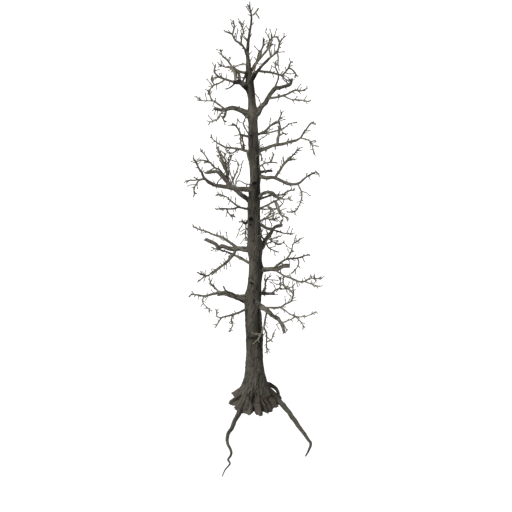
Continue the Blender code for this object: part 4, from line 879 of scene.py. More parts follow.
def trunk_centre(height):
    """The trunk's centre line: its crooks sideways and a slow sway to the front and back."""
    sway = TRUNK_SWAY * math.sin(2 * math.pi * height / TRUNK_SWAY_WAVE)
    return Vector((between(TRUNK_CROOKS, height), sway, height))


def heading(bearing, rise):
    """A unit vector from a bearing and a rise in degrees."""
    across = math.radians(bearing)
    up = math.radians(rise)
    return Vector((math.cos(up) * math.cos(across), math.cos(up) * math.sin(across), math.sin(up)))


def walk(start, bearing, legs):
    """The corners of a limb walked leg by leg."""
    corners = [start.copy()]
    for leg in legs:
        bearing += leg[2] if len(leg) == 3 else 0
        corners.append(corners[-1] + heading(bearing, leg[1]) * leg[0])
    return corners


def smooth(corners, step):
    """Points on a smooth curve through the corners, about one every step."""
    before = [corners[0] * 2 - corners[1]] + corners[:-2]
    after = corners[2:] + [corners[-1] * 2 - corners[-2]]
    points = [corners[0]]
    for first, start, end, last in zip(before, corners, corners[1:], after):
        count = max(1, round((end - start).length / step))
        for index in range(1, count + 1):
            t = index / count
            out = (end - first) / 2
            into = (last - start) / 2
            points.append(start * (2 * t ** 3 - 3 * t ** 2 + 1) + end * (3 * t ** 2 - 2 * t ** 3)
                          + out * (t ** 3 - 2 * t ** 2 + t) + into * (t ** 3 - t ** 2))
    return points


def kinked(points, amount, dice):
    """The same line with its inner points moved a little, as on slow-grown wood."""
    moved = [points[0]]
    for point in points[1:-1]:
        moved.append(point + Vector([dice.uniform(-amount, amount) for _ in range(3)]))
    return moved + [points[-1]]


def distances(points):
    """How far along the line each point lies."""
    along = [0.0]
    for start, end in zip(points, points[1:]):
        along.append(along[-1] + (end - start).length)
    return along


def point_along(points, fraction):
    """The point and the direction at a fraction of the line's length."""
    along = distances(points)
    target = fraction * along[-1]
    for index in range(len(points) - 1):
        if target <= along[index + 1] or index == len(points) - 2:
            run = points[index + 1] - points[index]
            return points[index] + run.normalized() * (target - along[index]), run.normalized()


def taper(points, foot, tip):
    """The radius at each point, from the foot's to the tip's."""
    along = distances(points)
    return [foot + (tip - foot) * reach / along[-1] for reach in along]


# ---------------------------------------------------------------- the solids' own skeleton
class Crown:
    """Keeps the line of every bough and the bars of every limb, so that what grows later stays clear."""

    def __init__(self):
        self.lines = {}
        self.owners = np.zeros(MOST_BARS, np.int64)
        self.bars = np.zeros((MOST_BARS, 2, 3))
        self.radii = np.zeros(MOST_BARS)
        self.count = 0

    def add(self, owner, points, radii):
        """Note the bars of a limb as taken space."""
        for index in range(len(points) - 1):
            self.owners[self.count] = owner
            self.bars[self.count] = (points[index], points[index + 1])
            self.radii[self.count] = max(radii[index], radii[index + 1])
            self.count += 1

    def free(self, owner, points, radius):
        """Whether a twig keeps clear of every limb that isn't its own mass."""
        line = np.array(points)
        reach = TWIG_CLEARANCE + radius
        bars = self.bars[:self.count]
        radii = self.radii[:self.count]
        near = self.owners[:self.count] != owner
        near &= (bars.max(axis=1) + radii[:, None] >= line.min(axis=0) - reach).all(axis=1)
        near &= (bars.min(axis=1) - radii[:, None] <= line.max(axis=0) + reach).all(axis=1)
        if not near.any():
            return True
        parts = np.array(CHECKED_PARTS)[:, None, None]
        samples = (line[:-1] + (line[1:] - line[:-1]) * parts).reshape(-1, 1, 3)
        start = bars[near, 0]
        run = bars[near, 1] - start
        part = ((samples - start) * run).sum(axis=2) / np.maximum((run * run).sum(axis=1), TINY)
        nearest = start + run * np.clip(part, 0.0, 1.0)[:, :, None]
        gap = np.linalg.norm(samples - nearest, axis=2) - radii[near]
        return bool((gap >= reach).all())


def collared(points, foot, tip):
    """A bough's radii, swollen where it leaves the trunk."""
    along = distances(points)
    return [radius * (1 + COLLAR_SWELL * math.exp(-max(0.0, reach - foot * COLLAR_STARTS) / COLLAR_LENGTH))
            for radius, reach in zip(taper(points, foot, tip), along)]


def bough_line(bough):
    """A bough's line and radii."""
    dice = random.Random(bough.name)
    corners = walk(trunk_centre(bough.height), bough.bearing, bough.legs)
    points = kinked(smooth(corners, RING_STEP), BOUGH_KINK, dice)
    return points, collared(points, bough.foot, bough.tip)


def stem_start(mass, crown):
    """Where a mass's stem begins: on the trunk's axis, on a bough's axis, or just inside its tip."""
    if mass.carrier == "trunk":
        return trunk_centre(mass.at)
    point, way = point_along(crown.lines[mass.carrier], mass.at)
    return point - way * mass.foot * STEM_SINK if mass.at == 1.0 else point


def mass_axes(mass, number, crown):
    """The stem and the sides of a mass: (points, radii) for each."""
    dice = random.Random(mass.name)
    corners = walk(stem_start(mass, crown), mass.bearing, mass.legs)
    points = kinked(smooth(corners, RING_STEP), STEM_KINK, dice)
    axes = [(points, taper(points, mass.foot, mass.tip))]
    for side in mass.sides:
        start, _ = point_along(axes[side.on][0], side.at)
        line = kinked(smooth(walk(start, side.bearing, side.legs), RING_STEP), STEM_KINK, dice)
        axes.append((line, taper(line, SIDE_FOOT, SIDE_TIP)))
    for points, radii in axes:
        crown.add(number, points, radii)
    return axes


def grow_twigs(mass, number, axes, crown):
    """The seeded twig rule of the solids: short crooked twigs turned off each axis, where there is room."""
    dice = random.Random(mass.name + "_twigs")
    twigs = []
    for points, _ in axes:
        length = distances(points)[-1]
        reach = BARE_FOOT * length + dice.uniform(*FIRST_TWIG) * TWIG_SPACING
        if points is axes[0][0] and mass.carrier == "trunk":
            reach += between(TRUNK_RADII, mass.at)
        while reach < length:
            start, way = point_along(points, reach / length)
            across = way.orthogonal().normalized()
            across.rotate(Matrix.Rotation(dice.uniform(0, 2 * math.pi), 3, way))
            first = (across + way * dice.uniform(*TWIG_LEAN)).normalized()
            turn = across * dice.uniform(-TWIG_TURN, TWIG_TURN) + Vector((0, 0, dice.uniform(*TWIG_UPTURN)))
            second = (first + turn).normalized()
            size = dice.uniform(*TWIG_REACH) * (1.0 - TWIG_SHORTENING * reach / length)
            bend = start + first * size * TWIG_BEND_AT
            line = [start, bend, bend + second * size * (1.0 - TWIG_BEND_AT)]
            if crown.free(number, line, TWIG_FOOT):
                twigs.append(line)
                crown.add(number, line, [TWIG_FOOT] * 3)
            reach += TWIG_SPACING * dice.uniform(*TWIG_SPREAD)
    return twigs


# ---------------------------------------------------------------- the rule carried on to finer twigs
def node_room(name, margin, owner, crown):
    """The room for a node's finer twigs: its own box with a margin, kept inside the whole model's."""
    low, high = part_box(name)
    edge = Vector((margin,) * 3)
    inside = Vector((BOX_EDGE,) * 3)
    low = Vector(map(max, low - edge, CAD_BOX[0] + inside))
    high = Vector(map(min, high + edge, CAD_BOX[1] - inside))
    return Room(owner, low, high, crown)


def has_room(line, kind, room):
    """Whether a twig stays in its room and clear of every other limb."""
    inside = all(room.low[axis] <= point[axis] <= room.high[axis] for point in line for axis in range(3))
    return inside and room.crown.free(room.owner, line, kind.foot)


def crooked(start, course, size, dice):
    """A short crooked twig from a point, in a few bends."""
    line = [start]
    for _ in range(TWIG_BENDS):
        line.append(line[-1] + course * size / TWIG_BENDS * dice.uniform(*BEND_LENGTHS))
        wander = Vector([dice.uniform(-BEND, BEND) for _ in range(3)])
        course = (course + wander + Vector((0, 0, UPTURN))).normalized()
    return line


def sprout(kind, points, first, dice):
    """Crooked twigs that leave one line in a loose spiral, with a fork near its tip."""
    length = distances(points)[-1]
    reach = max(first, kind.bare * length) + dice.uniform(*FIRST_FINE_TWIG) * kind.spacing
    places = []
    while reach < length * FORK_PLACES[0]:
        places.append(reach / length)
        reach += kind.spacing * dice.uniform(*FINE_SPREAD)
    grown = []
    roll = dice.uniform(0, 360)
    scale = min(1.0, length / FULL_TWIG_LENGTH)
    for place in places + [dice.uniform(part, part + FORK_SLACK) for part in FORK_PLACES]:
        start, way = point_along(points, place)
        roll += SPIRAL + dice.uniform(-SPIRAL_SLACK, SPIRAL_SLACK)
        across = way.orthogonal().normalized()
        across.rotate(Matrix.Rotation(math.radians(roll), 3, way))
        course = (across + way * dice.uniform(*FORWARD_LEAN)).normalized()
        size = dice.uniform(*kind.reach) * scale * (1.0 - TIP_SHORTENING * place)
        grown.append(crooked(start, course, size, dice))
    return grown


def grow(kind, points, first, room, dice):
    """The twigs of one kind that leave a line and have room."""
    return [line for line in sprout(kind, points, first, dice) if has_room(line, kind, room)]


def grow_finer(mass, axes, twigs, room):
    """Fine twigs on the axes, and spurs on those and on the solids' own twigs."""
    dice = random.Random(mass.name + "_finer")
    first = between(TRUNK_RADII, mass.at) if mass.carrier == "trunk" else 0.0
    fine = []
    spurs = []
    for points, _ in axes:
        fine += grow(FINE_TWIG, points, first, room, dice)
        spurs += grow(SPUR, points, first, room, dice)
        first = 0.0
    for line in twigs + fine:
        spurs += grow(SPUR, line, 0.0, room, dice)
    return fine, spurs


def limb_places(table, name, axes):
    """Where a limb's set twigs start, each with the rest of its row."""
    return [(point_along(axes[axis][0], part)[0], *row) for axis, part, *row in table.get(name, ())]


def trunk_places(rows):
    """Where the trunk's set twigs start, just inside its bark, each with the rest of its row."""
    return [(trunk_centre(height) + heading(bearing, 0) * between(TRUNK_RADII, height) * SPRIG_SEAT, *row)
            for height, bearing, *row in rows]


def add_sprigs(skin, name, places, lean, room, dice):
    """The set twigs of one piece that have room, each from a start and its legs, and their spurs."""
    shape_dice = random.Random(name + "_sprigs")
    sprigs = []
    for start, *legs in places:
        bearing = shape_dice.uniform(-lean, lean) if lean else 0
        line = kinked(smooth(walk(start, bearing, legs), SPRIG_STEP), SPRIG_KINK, shape_dice)
        if has_room(line, SPRIG, room):
            sprigs.append(line)
    spurs = []
    for line in sprigs:
        if distances(line)[-1] > FORKED_SPRIG:
            spurs += grow(SPUR, line, 0.0, room, shape_dice)
    add_twigs(skin, SPRIG, sprigs, dice)
    add_twigs(skin, SPUR, spurs, dice)


def add_stubs(skin, name, places, seed):
    """Stout stubs, each from a start, its foot and tip radius and its legs, with spurs on the long ones."""
    dice = random.Random(name + "_stubs")
    for start, foot, tip, *legs in places:
        line = smooth(walk(start, 0, legs), SPRIG_STEP)
        slot = dice.choice(TWIG_SLOTS) if len(legs) > PLAIN_LEGS else 0
        add_limb(skin, line, taper(line, foot, tip), STEM_MESH, seed, slot, STUB_SLOT, name)
        if len(legs) > SPURLESS_LEGS:
            add_twigs(skin, SPUR, sprout(SPUR, line, 0.0, dice), dice)


# ---------------------------------------------------------------- noise
def lattice(x, y, z, seed):
    """A repeatable random number from 0 to 1 for each whole-number place."""
    bits = (x * SCRAMBLE_X + y * SCRAMBLE_Y + z * SCRAMBLE_Z + seed * SCRAMBLE_SEED) & KEPT_BITS
    bits = ((bits ^ (bits >> 13)) * SCRAMBLE_AGAIN) & KEPT_BITS
    return ((bits ^ (bits >> 16)) & LAST_BITS) / LAST_BITS


def noise(x, y, z, seed):
    """Smooth noise from -1 to 1."""
    spots = np.stack(np.broadcast_arrays(x, y, z))
    cells = np.floor(spots).astype(np.int64)
    parts = spots - cells
    blend = parts * parts * (3 - 2 * parts)
    total = np.zeros(spots.shape[1:])
    for corner in product((0, 1), repeat=3):
        weight = 1.0
        for axis in range(3):
            weight = weight * (blend[axis] if corner[axis] else 1 - blend[axis])
        total += weight * lattice(cells[0] + corner[0], cells[1] + corner[1], cells[2] + corner[2], seed)
    return total * 2 - 1


def rough(grain, angle, along, seed=0):
    """Noise round a trunk or limb and along it, in one grain's waves and size."""
    return grain.size * noise(np.cos(angle) * grain.waves, np.sin(angle) * grain.waves, along / grain.length,
                              grain.seed + seed)


def plates(u, v, around, seed):
    """Bark plates, so many around: how far each point is inside its plate's edge, and its plate's number."""
    column = np.floor(u).astype(np.int64)
    row = np.floor(v).astype(np.int64)
    first = np.full(u.shape, np.inf)
    second = np.full(u.shape, np.inf)
    own = np.zeros(u.shape)
    for aside, above in product((-1, 0, 1), repeat=2):
        key = (column + aside) % around
        high = row + above
        middle_u = column + aside + PLATE_INSET + PLATE_ROAM * lattice(key, high, 0, seed)
        middle_v = high + PLATE_INSET + PLATE_ROAM * lattice(key, high, 1, seed)
        away = np.hypot(u - middle_u, v - middle_v)
        nearer = away < first
        second = np.where(nearer, first, np.minimum(second, away))
        own = np.where(nearer, lattice(key, high, 2, seed), own)
        first = np.where(nearer, away, first)
    return second - first, own


# ---------------------------------------------------------------- meshes from arrays
class Skin:
    """Gathers rings and caps, then makes one mesh object of them."""

    def __init__(self):
        self.points = []
        self.tints = []
        self.faces = {3: [], 4: []}
        self.slots = {3: [], 4: []}
        self.count = 0

    def add_faces(self, faces, slot):
        """Faces of 3 or 4 corners that all take one material slot."""
        corners = faces.shape[1]
        self.faces[corners].append(faces)
        self.slots[corners].append(np.full(len(faces), slot))

    def add_rings(self, rings, tint, slot, tip_slot=None):
        """A closed tube from an array (rings, sides, 3) and a shade for each point."""
        count, sides = rings.shape[:2]
        start = self.count
        self.points.append(rings.reshape(-1, 3))
        self.tints.append(tint.reshape(-1))
        self.count += count * sides
        low = start + np.arange((count - 1) * sides).reshape(count - 1, sides)
        after = np.roll(low, -1, axis=1)
        self.add_faces(np.stack((low, after, after + sides, low + sides), axis=2).reshape(-1, 4), slot)
        self.add_cap(start + np.arange(sides)[::-1], rings[0].mean(axis=0), tint[0].mean(), slot)
        last = start + (count - 1) * sides + np.arange(sides)
        self.add_cap(last, rings[-1].mean(axis=0), tint[-1].mean(), slot if tip_slot is None else tip_slot)

    def add_cap(self, rim, middle, tint, slot):
        """A fan that closes a ring."""
        self.points.append(middle.reshape(1, 3))
        self.tints.append(np.array([tint]))
        fan = np.stack((rim, np.roll(rim, -1), np.full(len(rim), self.count)), axis=1)
        self.count += 1
        self.add_faces(fan, slot)

    def build(self, name, materials):
        """The mesh object, shaded smooth, with each point's tone and painted shade as an attribute."""
        mesh = bpy.data.meshes.new(name)
        points = np.concatenate(self.points)
        loops, starts, slots, used = [], [], [], 0
        for corners in (3, 4):
            if self.faces[corners]:
                faces = np.concatenate(self.faces[corners])
                loops.append(faces.reshape(-1))
                starts.append(used + corners * np.arange(len(faces)))
                slots.append(np.concatenate(self.slots[corners]))
                used += faces.size
        mesh.vertices.add(len(points))
        mesh.vertices.foreach_set("co", points.reshape(-1).astype(np.float32))
        mesh.loops.add(used)
        mesh.loops.foreach_set("vertex_index", np.concatenate(loops).astype(np.int32))
        starts = np.concatenate(starts).astype(np.int32)
        mesh.polygons.add(len(starts))
        mesh.polygons.foreach_set("loop_start", starts)
        mesh.polygons.foreach_set("material_index", np.concatenate(slots).astype(np.int32))
        mesh.update(calc_edges=True)
        mesh.validate()
        mesh.shade_smooth()
        shade = mesh.attributes.new("relief", "FLOAT", "POINT")
        shade.data.foreach_set("value", np.concatenate(self.tints).astype(np.float32))
        for material in materials:
            mesh.materials.append(material)
        return place(name, mesh)


def resampled(points, radii, step):
    """A smooth line through the points with the radius at each, about one point every step."""
    fine = smooth(points, step)
    along = np.array(distances(fine))
    old = np.array(distances(points))
    return fine, np.interp(along / along[-1], old / old[-1], radii)


def ring_axes(points):
    """Two directions across the line at each point, kept from twisting."""
    sideways = []
    across = None
    for index in range(len(points)):
        way = (points[min(index + 1, len(points) - 1)] - points[max(index - 1, 0)]).normalized()
        if across is None:
            across = way.orthogonal().normalized()
        across = (across - way * across.dot(way)).normalized()
        sideways.append((across.copy(), way.cross(across)))
    return np.array(sideways)


def rings_of(points, radii, sides, relief=None):
    """The rings of a round limb, with a relief in metres at each point of each ring."""
    axes = ring_axes(points)
    angles = 2 * np.pi * np.arange(sides) / sides
    reach = np.array(radii)[:, None] + (0.0 if relief is None else relief)
    reach = np.broadcast_to(reach, (len(points), sides))
    cosines = np.cos(angles)[None, :, None]
    sines = np.sin(angles)[None, :, None]
    turned = axes[:, 0, None] * cosines + axes[:, 1, None] * sines
    return np.array(points)[:, None] + turned * reach[:, :, None]


def limb_tone_and_shadow(name, points):
    """The change of shade along one limb: its tone, partly painted shade, and the painted shadow at its
    crotch.
    """
    tone = LIMB_TONE_AND_SHADE.get(name, OTHER_TONE)
    if name not in CROTCH_SHADOW_REACH:
        return tone
    # Painted shadow darkens the limb near its crotch.
    return tone - CROTCH_SHADOW * np.exp(-(np.array(distances(points)) / CROTCH_SHADOW_REACH[name]) ** CROTCH_SHADOW_FADE)[:, None]


def limb_relief(points, radii, sides, seed, tone):
    """Furrowed bark along a limb: its relief in metres, and its shade, with painted light and shade that
    follow the relief.
    """
    along = np.array(distances(points))[:, None]
    angle = (2 * np.pi * np.arange(sides) / sides)[None, :]
    radius = np.array(radii)[:, None]
    bump = rough(LIMB_BUMPS, angle, along, seed)
    furrow = np.exp(-(rough(LIMB_FURROWS, angle, along, seed) / FURROW_WIDTH) ** 2)
    slow = rough(LIMB_SWELL, angle, along, seed) + rough(LIMB_LUMPS, angle, along, seed)
    relief = radius * (slow + BUMP_HEIGHT * bump - FURROW_DEPTH * furrow)
    return relief, np.clip(LIMB_SHADE + tone + BUMP_LIGHT_AND_SHADE * bump - FURROW_SHADOW * furrow, DARKEST, 1.0)


def torn_end(rings, tint, way, seed):
    """Rings that end in splinters round a hollow, and their shade."""
    sides = rings.shape[1]
    teeth = rough(SPLINTERS, 2 * np.pi * np.arange(sides) / sides, 0.0, seed)[:, None]
    rings[-1] += way * teeth
    rings[-2] += way * (SPLINTER_FOOT * teeth)
    middle = rings[-1].mean(axis=0)
    hollow = middle + (rings[-1] - middle) * HOLLOW_WIDTH - way * HOLLOW_DEPTH
    tint[-1] *= TORN_EDGE_SHADE
    return np.concatenate((rings, hollow[None])), np.concatenate((tint, np.zeros((1, sides))))


def add_limb(skin, points, radii, mesh, seed, slot, stub_slot=None, name=""):
    """A limb with bark relief: to a thin tip, or to a torn stub where it has a slot for the bare wood."""
    points, radii = resampled(points, radii, mesh.step)
    relief, tint = limb_relief(points, radii, mesh.sides, seed, limb_tone_and_shadow(name, points))
    rings = rings_of(points, radii, mesh.sides, relief)
    if stub_slot is not None:
        way = np.array((points[-1] - points[-2]).normalized())
        rings, tint = torn_end(rings, tint, way, seed)
    skin.add_rings(rings, tint, slot, stub_slot)


def add_twig(skin, kind, line, slot):
    """A thin twig, a little swollen at its foot."""
    points, radii = resampled(line, taper(line, kind.foot, kind.tip), TWIG_MESH_STEP)
    radii[0] *= TWIG_SWELL
    rings = rings_of(points, radii, kind.sides)
    skin.add_rings(rings, np.full(rings.shape[:2], TWIG_SHADE), slot)


def add_twigs(skin, kind, lines, dice):
    """Thin twigs of one kind, each in one of the twig colours."""
    for line in lines:
        add_twig(skin, kind, line, dice.choice(TWIG_SLOTS))


# ---------------------------------------------------------------- trunk
def turn_between(bearing, other):
    """The smallest turn from one bearing to the other, in degrees."""
    return (other - bearing + 180.0) % 360.0 - 180.0


def flare_reach(bearing):
    """How far the flare's plates reach over the ground on a bearing."""
    reach = np.full(bearing.shape, FLARE_VALLEY)
    for middle, plate_reach, width, bluntness in FLARE_PLATES:
        aside = np.abs(turn_between(bearing, middle)) / width
        reach = np.maximum(reach, FLARE_VALLEY + (plate_reach - FLARE_VALLEY) * np.exp(-aside ** bluntness))
    return reach


def trunk_lumps(height, bearing, radius):
    """The slow lumps on the trunk's side."""
    rise = np.zeros(height.shape)
    for waves, wave, start, size in TRUNK_LUMPS:
        rise += size * np.sin(np.radians(waves * bearing + 360.0 * height / wave + start))
    return rise * np.minimum(1.0, radius / FULL_LUMP_RADIUS)


def flare_ridges(height, bearing):
    """The ridges that run down the flare."""
    rise = np.zeros(height.shape)
    for foot_bearing, top_bearing, top, size in RIDGES:
        part = np.clip(height / top, 0.0, 1.0)
        middle = foot_bearing + (top_bearing - foot_bearing) * part
        aside = turn_between(bearing, middle) / RIDGE_WIDTH
        rise += size * np.exp(-aside ** 2) * np.sin(np.pi * np.sqrt(part))
    return rise


def ledge(height, bearing):
    """The torn ledge: a step out above its line and a step in below it."""
    front = np.exp(-(turn_between(bearing, LEDGE_BEARING) / LEDGE_WIDTH) ** 4)
    over = height - LEDGE_HEIGHT
    return np.copysign(LEDGE_STEP, over) * front * np.exp(-np.abs(over) / LEDGE_FALL)


def trunk_reach(height, bearing, radius):
    """How far the trunk's side is from its centre line, as on the solid."""
    flare = np.maximum(0.0, flare_reach(bearing) - radius) * np.exp(-height / FLARE_FALL)
    return (radius + flare + trunk_lumps(height, bearing, radius) + flare_ridges(height, bearing)
            + ledge(height, bearing))


def on_trunk(height, bearing, radius, spot_height, spot_bearing, size):
    """How far each point of the trunk lies from a spot on it, in sizes."""
    aside = turn_between(spot_bearing, bearing)
    return np.hypot((height - spot_height) / size, np.radians(aside) * radius / size)


def limb_feet():
    """Where limbs leave the trunk: (height at its surface, bearing, foot radius)."""
    limbs = [(bough, bough.height, bough.foot * (1 + COLLAR_SWELL)) for bough in BOUGHS]
    limbs += [(mass, mass.at, mass.foot) for mass in MASSES if mass.carrier == "trunk"]
    feet = []
    for limb, height, foot in limbs:
        rise = math.radians(limb.legs[0][1])
        feet.append((height + between(TRUNK_RADII, height) * math.tan(rise), limb.bearing, foot))
    return feet


def trunk_relief(height, bearing, radius):
    """The trunk's bark: its relief in metres, and its shade, with painted shade in its fissures and in part
    of its tone by height.
    """
    angle = np.radians(bearing)
    strength = np.clip(radius / FULL_RELIEF_RADIUS, LEAST_RELIEF, 1.0)
    warp = rough(PLATE_WARP, angle, height)
    inside, own = plates(bearing / 360.0 * PLATES_ROUND + warp, height / PLATE_HEIGHT + warp, PLATES_ROUND,
                         PLATE_SEED)
    fissure = np.exp(-(inside / FISSURE_WIDTH) ** 2)
    relief = sum(rough(lump, angle, height) for lump in LUMPS)
    relief = strength * (relief + PLATE_STEP * (own - 0.5) - FISSURE_DEPTH * fissure)
    shade = TRUNK_SHADE + PLATE_SHADE * (own - 0.5) - FISSURE_SHADOW * fissure
    shade += rough(FINE_GRAIN, angle, height) + rough(BLOTCHES, angle, height)
    return relief, shade + np.interp(height, *zip(*TRUNK_TONE_AND_SHADE))


def flare_relief(height, bearing):
    """The flare's ragged ends, small ridges and slits: their relief in metres, and the painted shade in its
    dips and slits.
    """
    angle = np.radians(bearing)
    teeth = TOOTH_REACH - np.abs(rough(FLARE_TEETH, angle, 0.0)) + rough(FINE_TEETH, angle, 0.0)
    low = np.exp(-height / RIDGE_FALL)
    ridge = rough(FLARE_RIDGES, angle, height)
    relief = TOOTH_LENGTH * teeth * np.exp(-height / TOOTH_FALL) + RIDGE_HEIGHT * ridge * low
    dark = DIP_SHADOW * (ridge < DIP_BELOW) * low
    bent = bearing + rough(SLIT_BENDS, angle, height)
    for middle, depth, slit_height, length, lean in SLITS:
        over = (height - slit_height) / length
        aside = turn_between(bent, middle + lean * over * length) / SLIT_WIDTH
        slit = np.exp(-aside ** 2 - over ** 4)
        relief -= depth * slit
        dark = np.maximum(dark, SLIT_SHADOW * slit)
    return relief, -dark


def knot_hole(away):
    """An old branch hole, so many of its radii from its middle: its relief in radii, and how dark the painted
    shade in its mouth is.
    """
    rim = RIM_HEIGHT * np.exp(-((away - RIM_AT) / RIM_WIDTH) ** 2)
    pit = PIT_DEPTH * np.exp(-(away * PIT_SHARPNESS) ** 4)
    return rim - pit, MOUTH_SHADOW * np.exp(-(away * MOUTH_SHARPNESS) ** 4)


def limb_marks(height, bearing, radius):
    """Collars under the limbs, branch holes with painted shade in their mouths, streaks of painted shade and
    the painted shadow under the ledge: relief and shade.
    """
    relief = np.zeros(height.shape)
    shade = np.zeros(height.shape)
    for foot_height, foot_bearing, foot in limb_feet():
        away = on_trunk(height, bearing, radius, foot_height, foot_bearing, foot * COLLAR_REACH)
        relief += COLLAR_RISE * foot * np.exp(-away ** 2)
    for hole_height, hole_bearing, size in KNOT_HOLES:
        hole, dark = knot_hole(on_trunk(height, bearing, radius, hole_height, hole_bearing, size))
        relief += size * hole
        shade -= dark
    for low, top, streak_bearing, width, dark in SHADE_AND_CRACK_STREAKS:
        inside = 1 / (1 + np.exp((low - height) / STREAK_END)) / (1 + np.exp((height - top) / STREAK_END))
        shade -= dark * inside * np.exp(-(turn_between(bearing, streak_bearing) / width) ** 2)
    under = np.where(height < LEDGE_HEIGHT, np.maximum(0.0, -ledge(height, bearing)) / LEDGE_STEP, 0.0)
    return relief, shade - LEDGE_SHADOW * under


def add_bark(skin, low, high, mesh):
    """One length of the trunk's bark."""
    heights = np.linspace(low, high, max(2, round((high - low) / mesh.step)))
    height, bearing = np.meshgrid(heights, np.arange(mesh.sides) * 360.0 / mesh.sides, indexing="ij")
    angle = np.radians(bearing)
    radius = np.interp(height, *zip(*TRUNK_RADII))
    relief, shade = trunk_relief(height, bearing, radius)
    flare, flare_shade = flare_relief(height, bearing)
    marks, marks_shade = limb_marks(height, bearing, radius)
    reach = trunk_reach(height, bearing, radius) + relief + flare + marks
    centres = np.array([trunk_centre(level) for level in heights])[:, None]
    rings = np.stack((centres[..., 0] + reach * np.cos(angle), centres[..., 1] + reach * np.sin(angle),
                      np.broadcast_to(centres[..., 2], reach.shape)), axis=2)
    skin.add_rings(rings, np.clip(shade + flare_shade + marks_shade, 0.0, 1.0), 0)


def build_trunk(crown, materials):
    """The trunk: its flare, its bark, its leader and the twigs that come straight out of it."""
    skin = Skin()
    room = node_room("trunk", BOUGH_MARGIN, TRUNK_OWNER, crown)
    add_sprigs(skin, "trunk", trunk_places(SPRIGS["trunk"]), 0, room, random.Random("trunk_tints"))
    add_stubs(skin, "trunk", trunk_places(TRUNK_STUBS), TRUNK_STUB_SEED)
    add_bark(skin, 0.0, FLARE_TOP, FLARE_MESH)
    add_bark(skin, FLARE_TOP - BARK_MESH.step, BARK_TOP, BARK_MESH)
    levels = np.arange(LEADER_STARTS, TREE_HEIGHT, LEADER_STATIONS)
    levels = np.append(levels[:-1], TREE_HEIGHT)
    leader = [trunk_centre(level) for level in levels]
    widths = [between(TRUNK_RADII, level) for level in levels]
    add_limb(skin, leader, widths, LEADER_MESH, LEADER_SEED, 0)
    return skin.build("trunk_bark", materials)


# ---------------------------------------------------------------- roots
def root_line(root):
    """A surface root's line over the ground."""
    legs = [(length, 0, turn) for length, turn in root.legs]
    corners = walk(Vector((*root.start, 0.0)), root.bearing, legs)
    return kinked(smooth(corners, ROOT_STEP), BOUGH_KINK, random.Random(root.name))


def build_root(root, materials, seed):
    """A surface root lying on the ground, its underside flat."""
    points = root_line(root)
    along = np.array(distances(points))
    radii = root.foot + (root.tip - root.foot) * (along / along[-1]) ** root.fullness
    points, radii = resampled(points, radii, ROOT_MESH.step)
    along = np.array(distances(points))
    heights = ROOT_HEIGHT + ROOT_SHOULDER * np.exp(-(along / SHOULDER_LENGTH) ** 2)
    relief, tint = limb_relief(points, radii, ROOT_MESH.sides, seed, 0.0)
    radii = radii[:, None] + ROOT_RELIEF * relief
    angle = np.pi * np.arange(ROOT_MESH.sides) / (ROOT_MESH.sides - 1)
    rings = np.zeros((len(points), ROOT_MESH.sides, 3))
    for index, point in enumerate(points):
        way = points[min(index + 1, len(points) - 1)] - points[max(index - 1, 0)]
        across = np.array((way.y, -way.x, 0.0)) / max(math.hypot(way.x, way.y), TINY)
        rings[index] = np.array(point) + across * (radii[index] * np.cos(angle))[:, None]
        rings[index, :, 2] = heights[index] * radii[index] * np.sin(angle)
    skin = Skin()
    skin.add_rings(rings, tint, 0)
    return skin.build(root.name + "_bark", materials)


def build_arch(materials, seed):
    """The small root that arches out of the trunk and back into the flare, with a gap under it."""
    points = smooth([Vector(point) for point in ARCH_POINTS], ROOT_STEP)
    points, radii = resampled(points, taper(points, ARCH_FOOT, ARCH_TIP), ARCH_MESH.step)
    relief, tint = limb_relief(points, radii, ARCH_MESH.sides, seed, 0.0)
    rings = rings_of(points, radii, ARCH_MESH.sides, relief)
    rings[:, :, 2] = np.maximum(rings[:, :, 2], 0.0)
    skin = Skin()
    skin.add_rings(rings, tint, 0)
    return skin.build("root_arch_bark", materials)


# ---------------------------------------------------------------- boughs and masses
def out_of_trunk(points, radii):
    """A limb's line without the part that lies deep inside the trunk."""
    points, radii = resampled(points, radii, BOUGH_MESH.step)
    for index, point in enumerate(points):
        away = (point - trunk_centre(point.z)).length
        if away > LIMB_SINK * between(TRUNK_RADII, point.z):
            return points[index:], radii[index:]
    return points, radii


def build_bough(bough, points, radii, crown, materials, number):
    """A bough with furrowed bark and a few short twigs of its own."""
    skin = Skin()
    dice = random.Random(bough.name + "_finer")
    seed = BOUGH_SEED + number * BOUGH_SEED_STEP
    stub = None if bough.name in CARRIERS else STUB_SLOT
    add_limb(skin, *out_of_trunk(points, radii), BOUGH_MESH, seed, 0, stub, bough.name)
    axes = [(points, radii)]
    add_stubs(skin, bough.name, limb_places(STOUT_STUBS, bough.name, axes), seed)
    wide = node_room(bough.name, SPRIG_MARGIN, BOUGH_OWNER + number, crown)
    add_sprigs(skin, bough.name, limb_places(SPRIGS, bough.name, axes), SPRIG_LEAN, wide, dice)
    room = node_room(bough.name, BOUGH_MARGIN, BOUGH_OWNER + number, crown)
    for peg in grow(PEG, points, 0.0, room, dice):
        add_twig(skin, PEG, peg, 0)
    for twig in grow(BOUGH_TWIG, points, 0.0, room, dice):
        slot = dice.choice(TWIG_SLOTS)
        add_twig(skin, BOUGH_TWIG, twig, slot)
        for spur in grow(SPUR, twig, 0.0, room, dice):
            add_twig(skin, SPUR, spur, slot)
    return skin.build(bough.name + "_bark", materials)


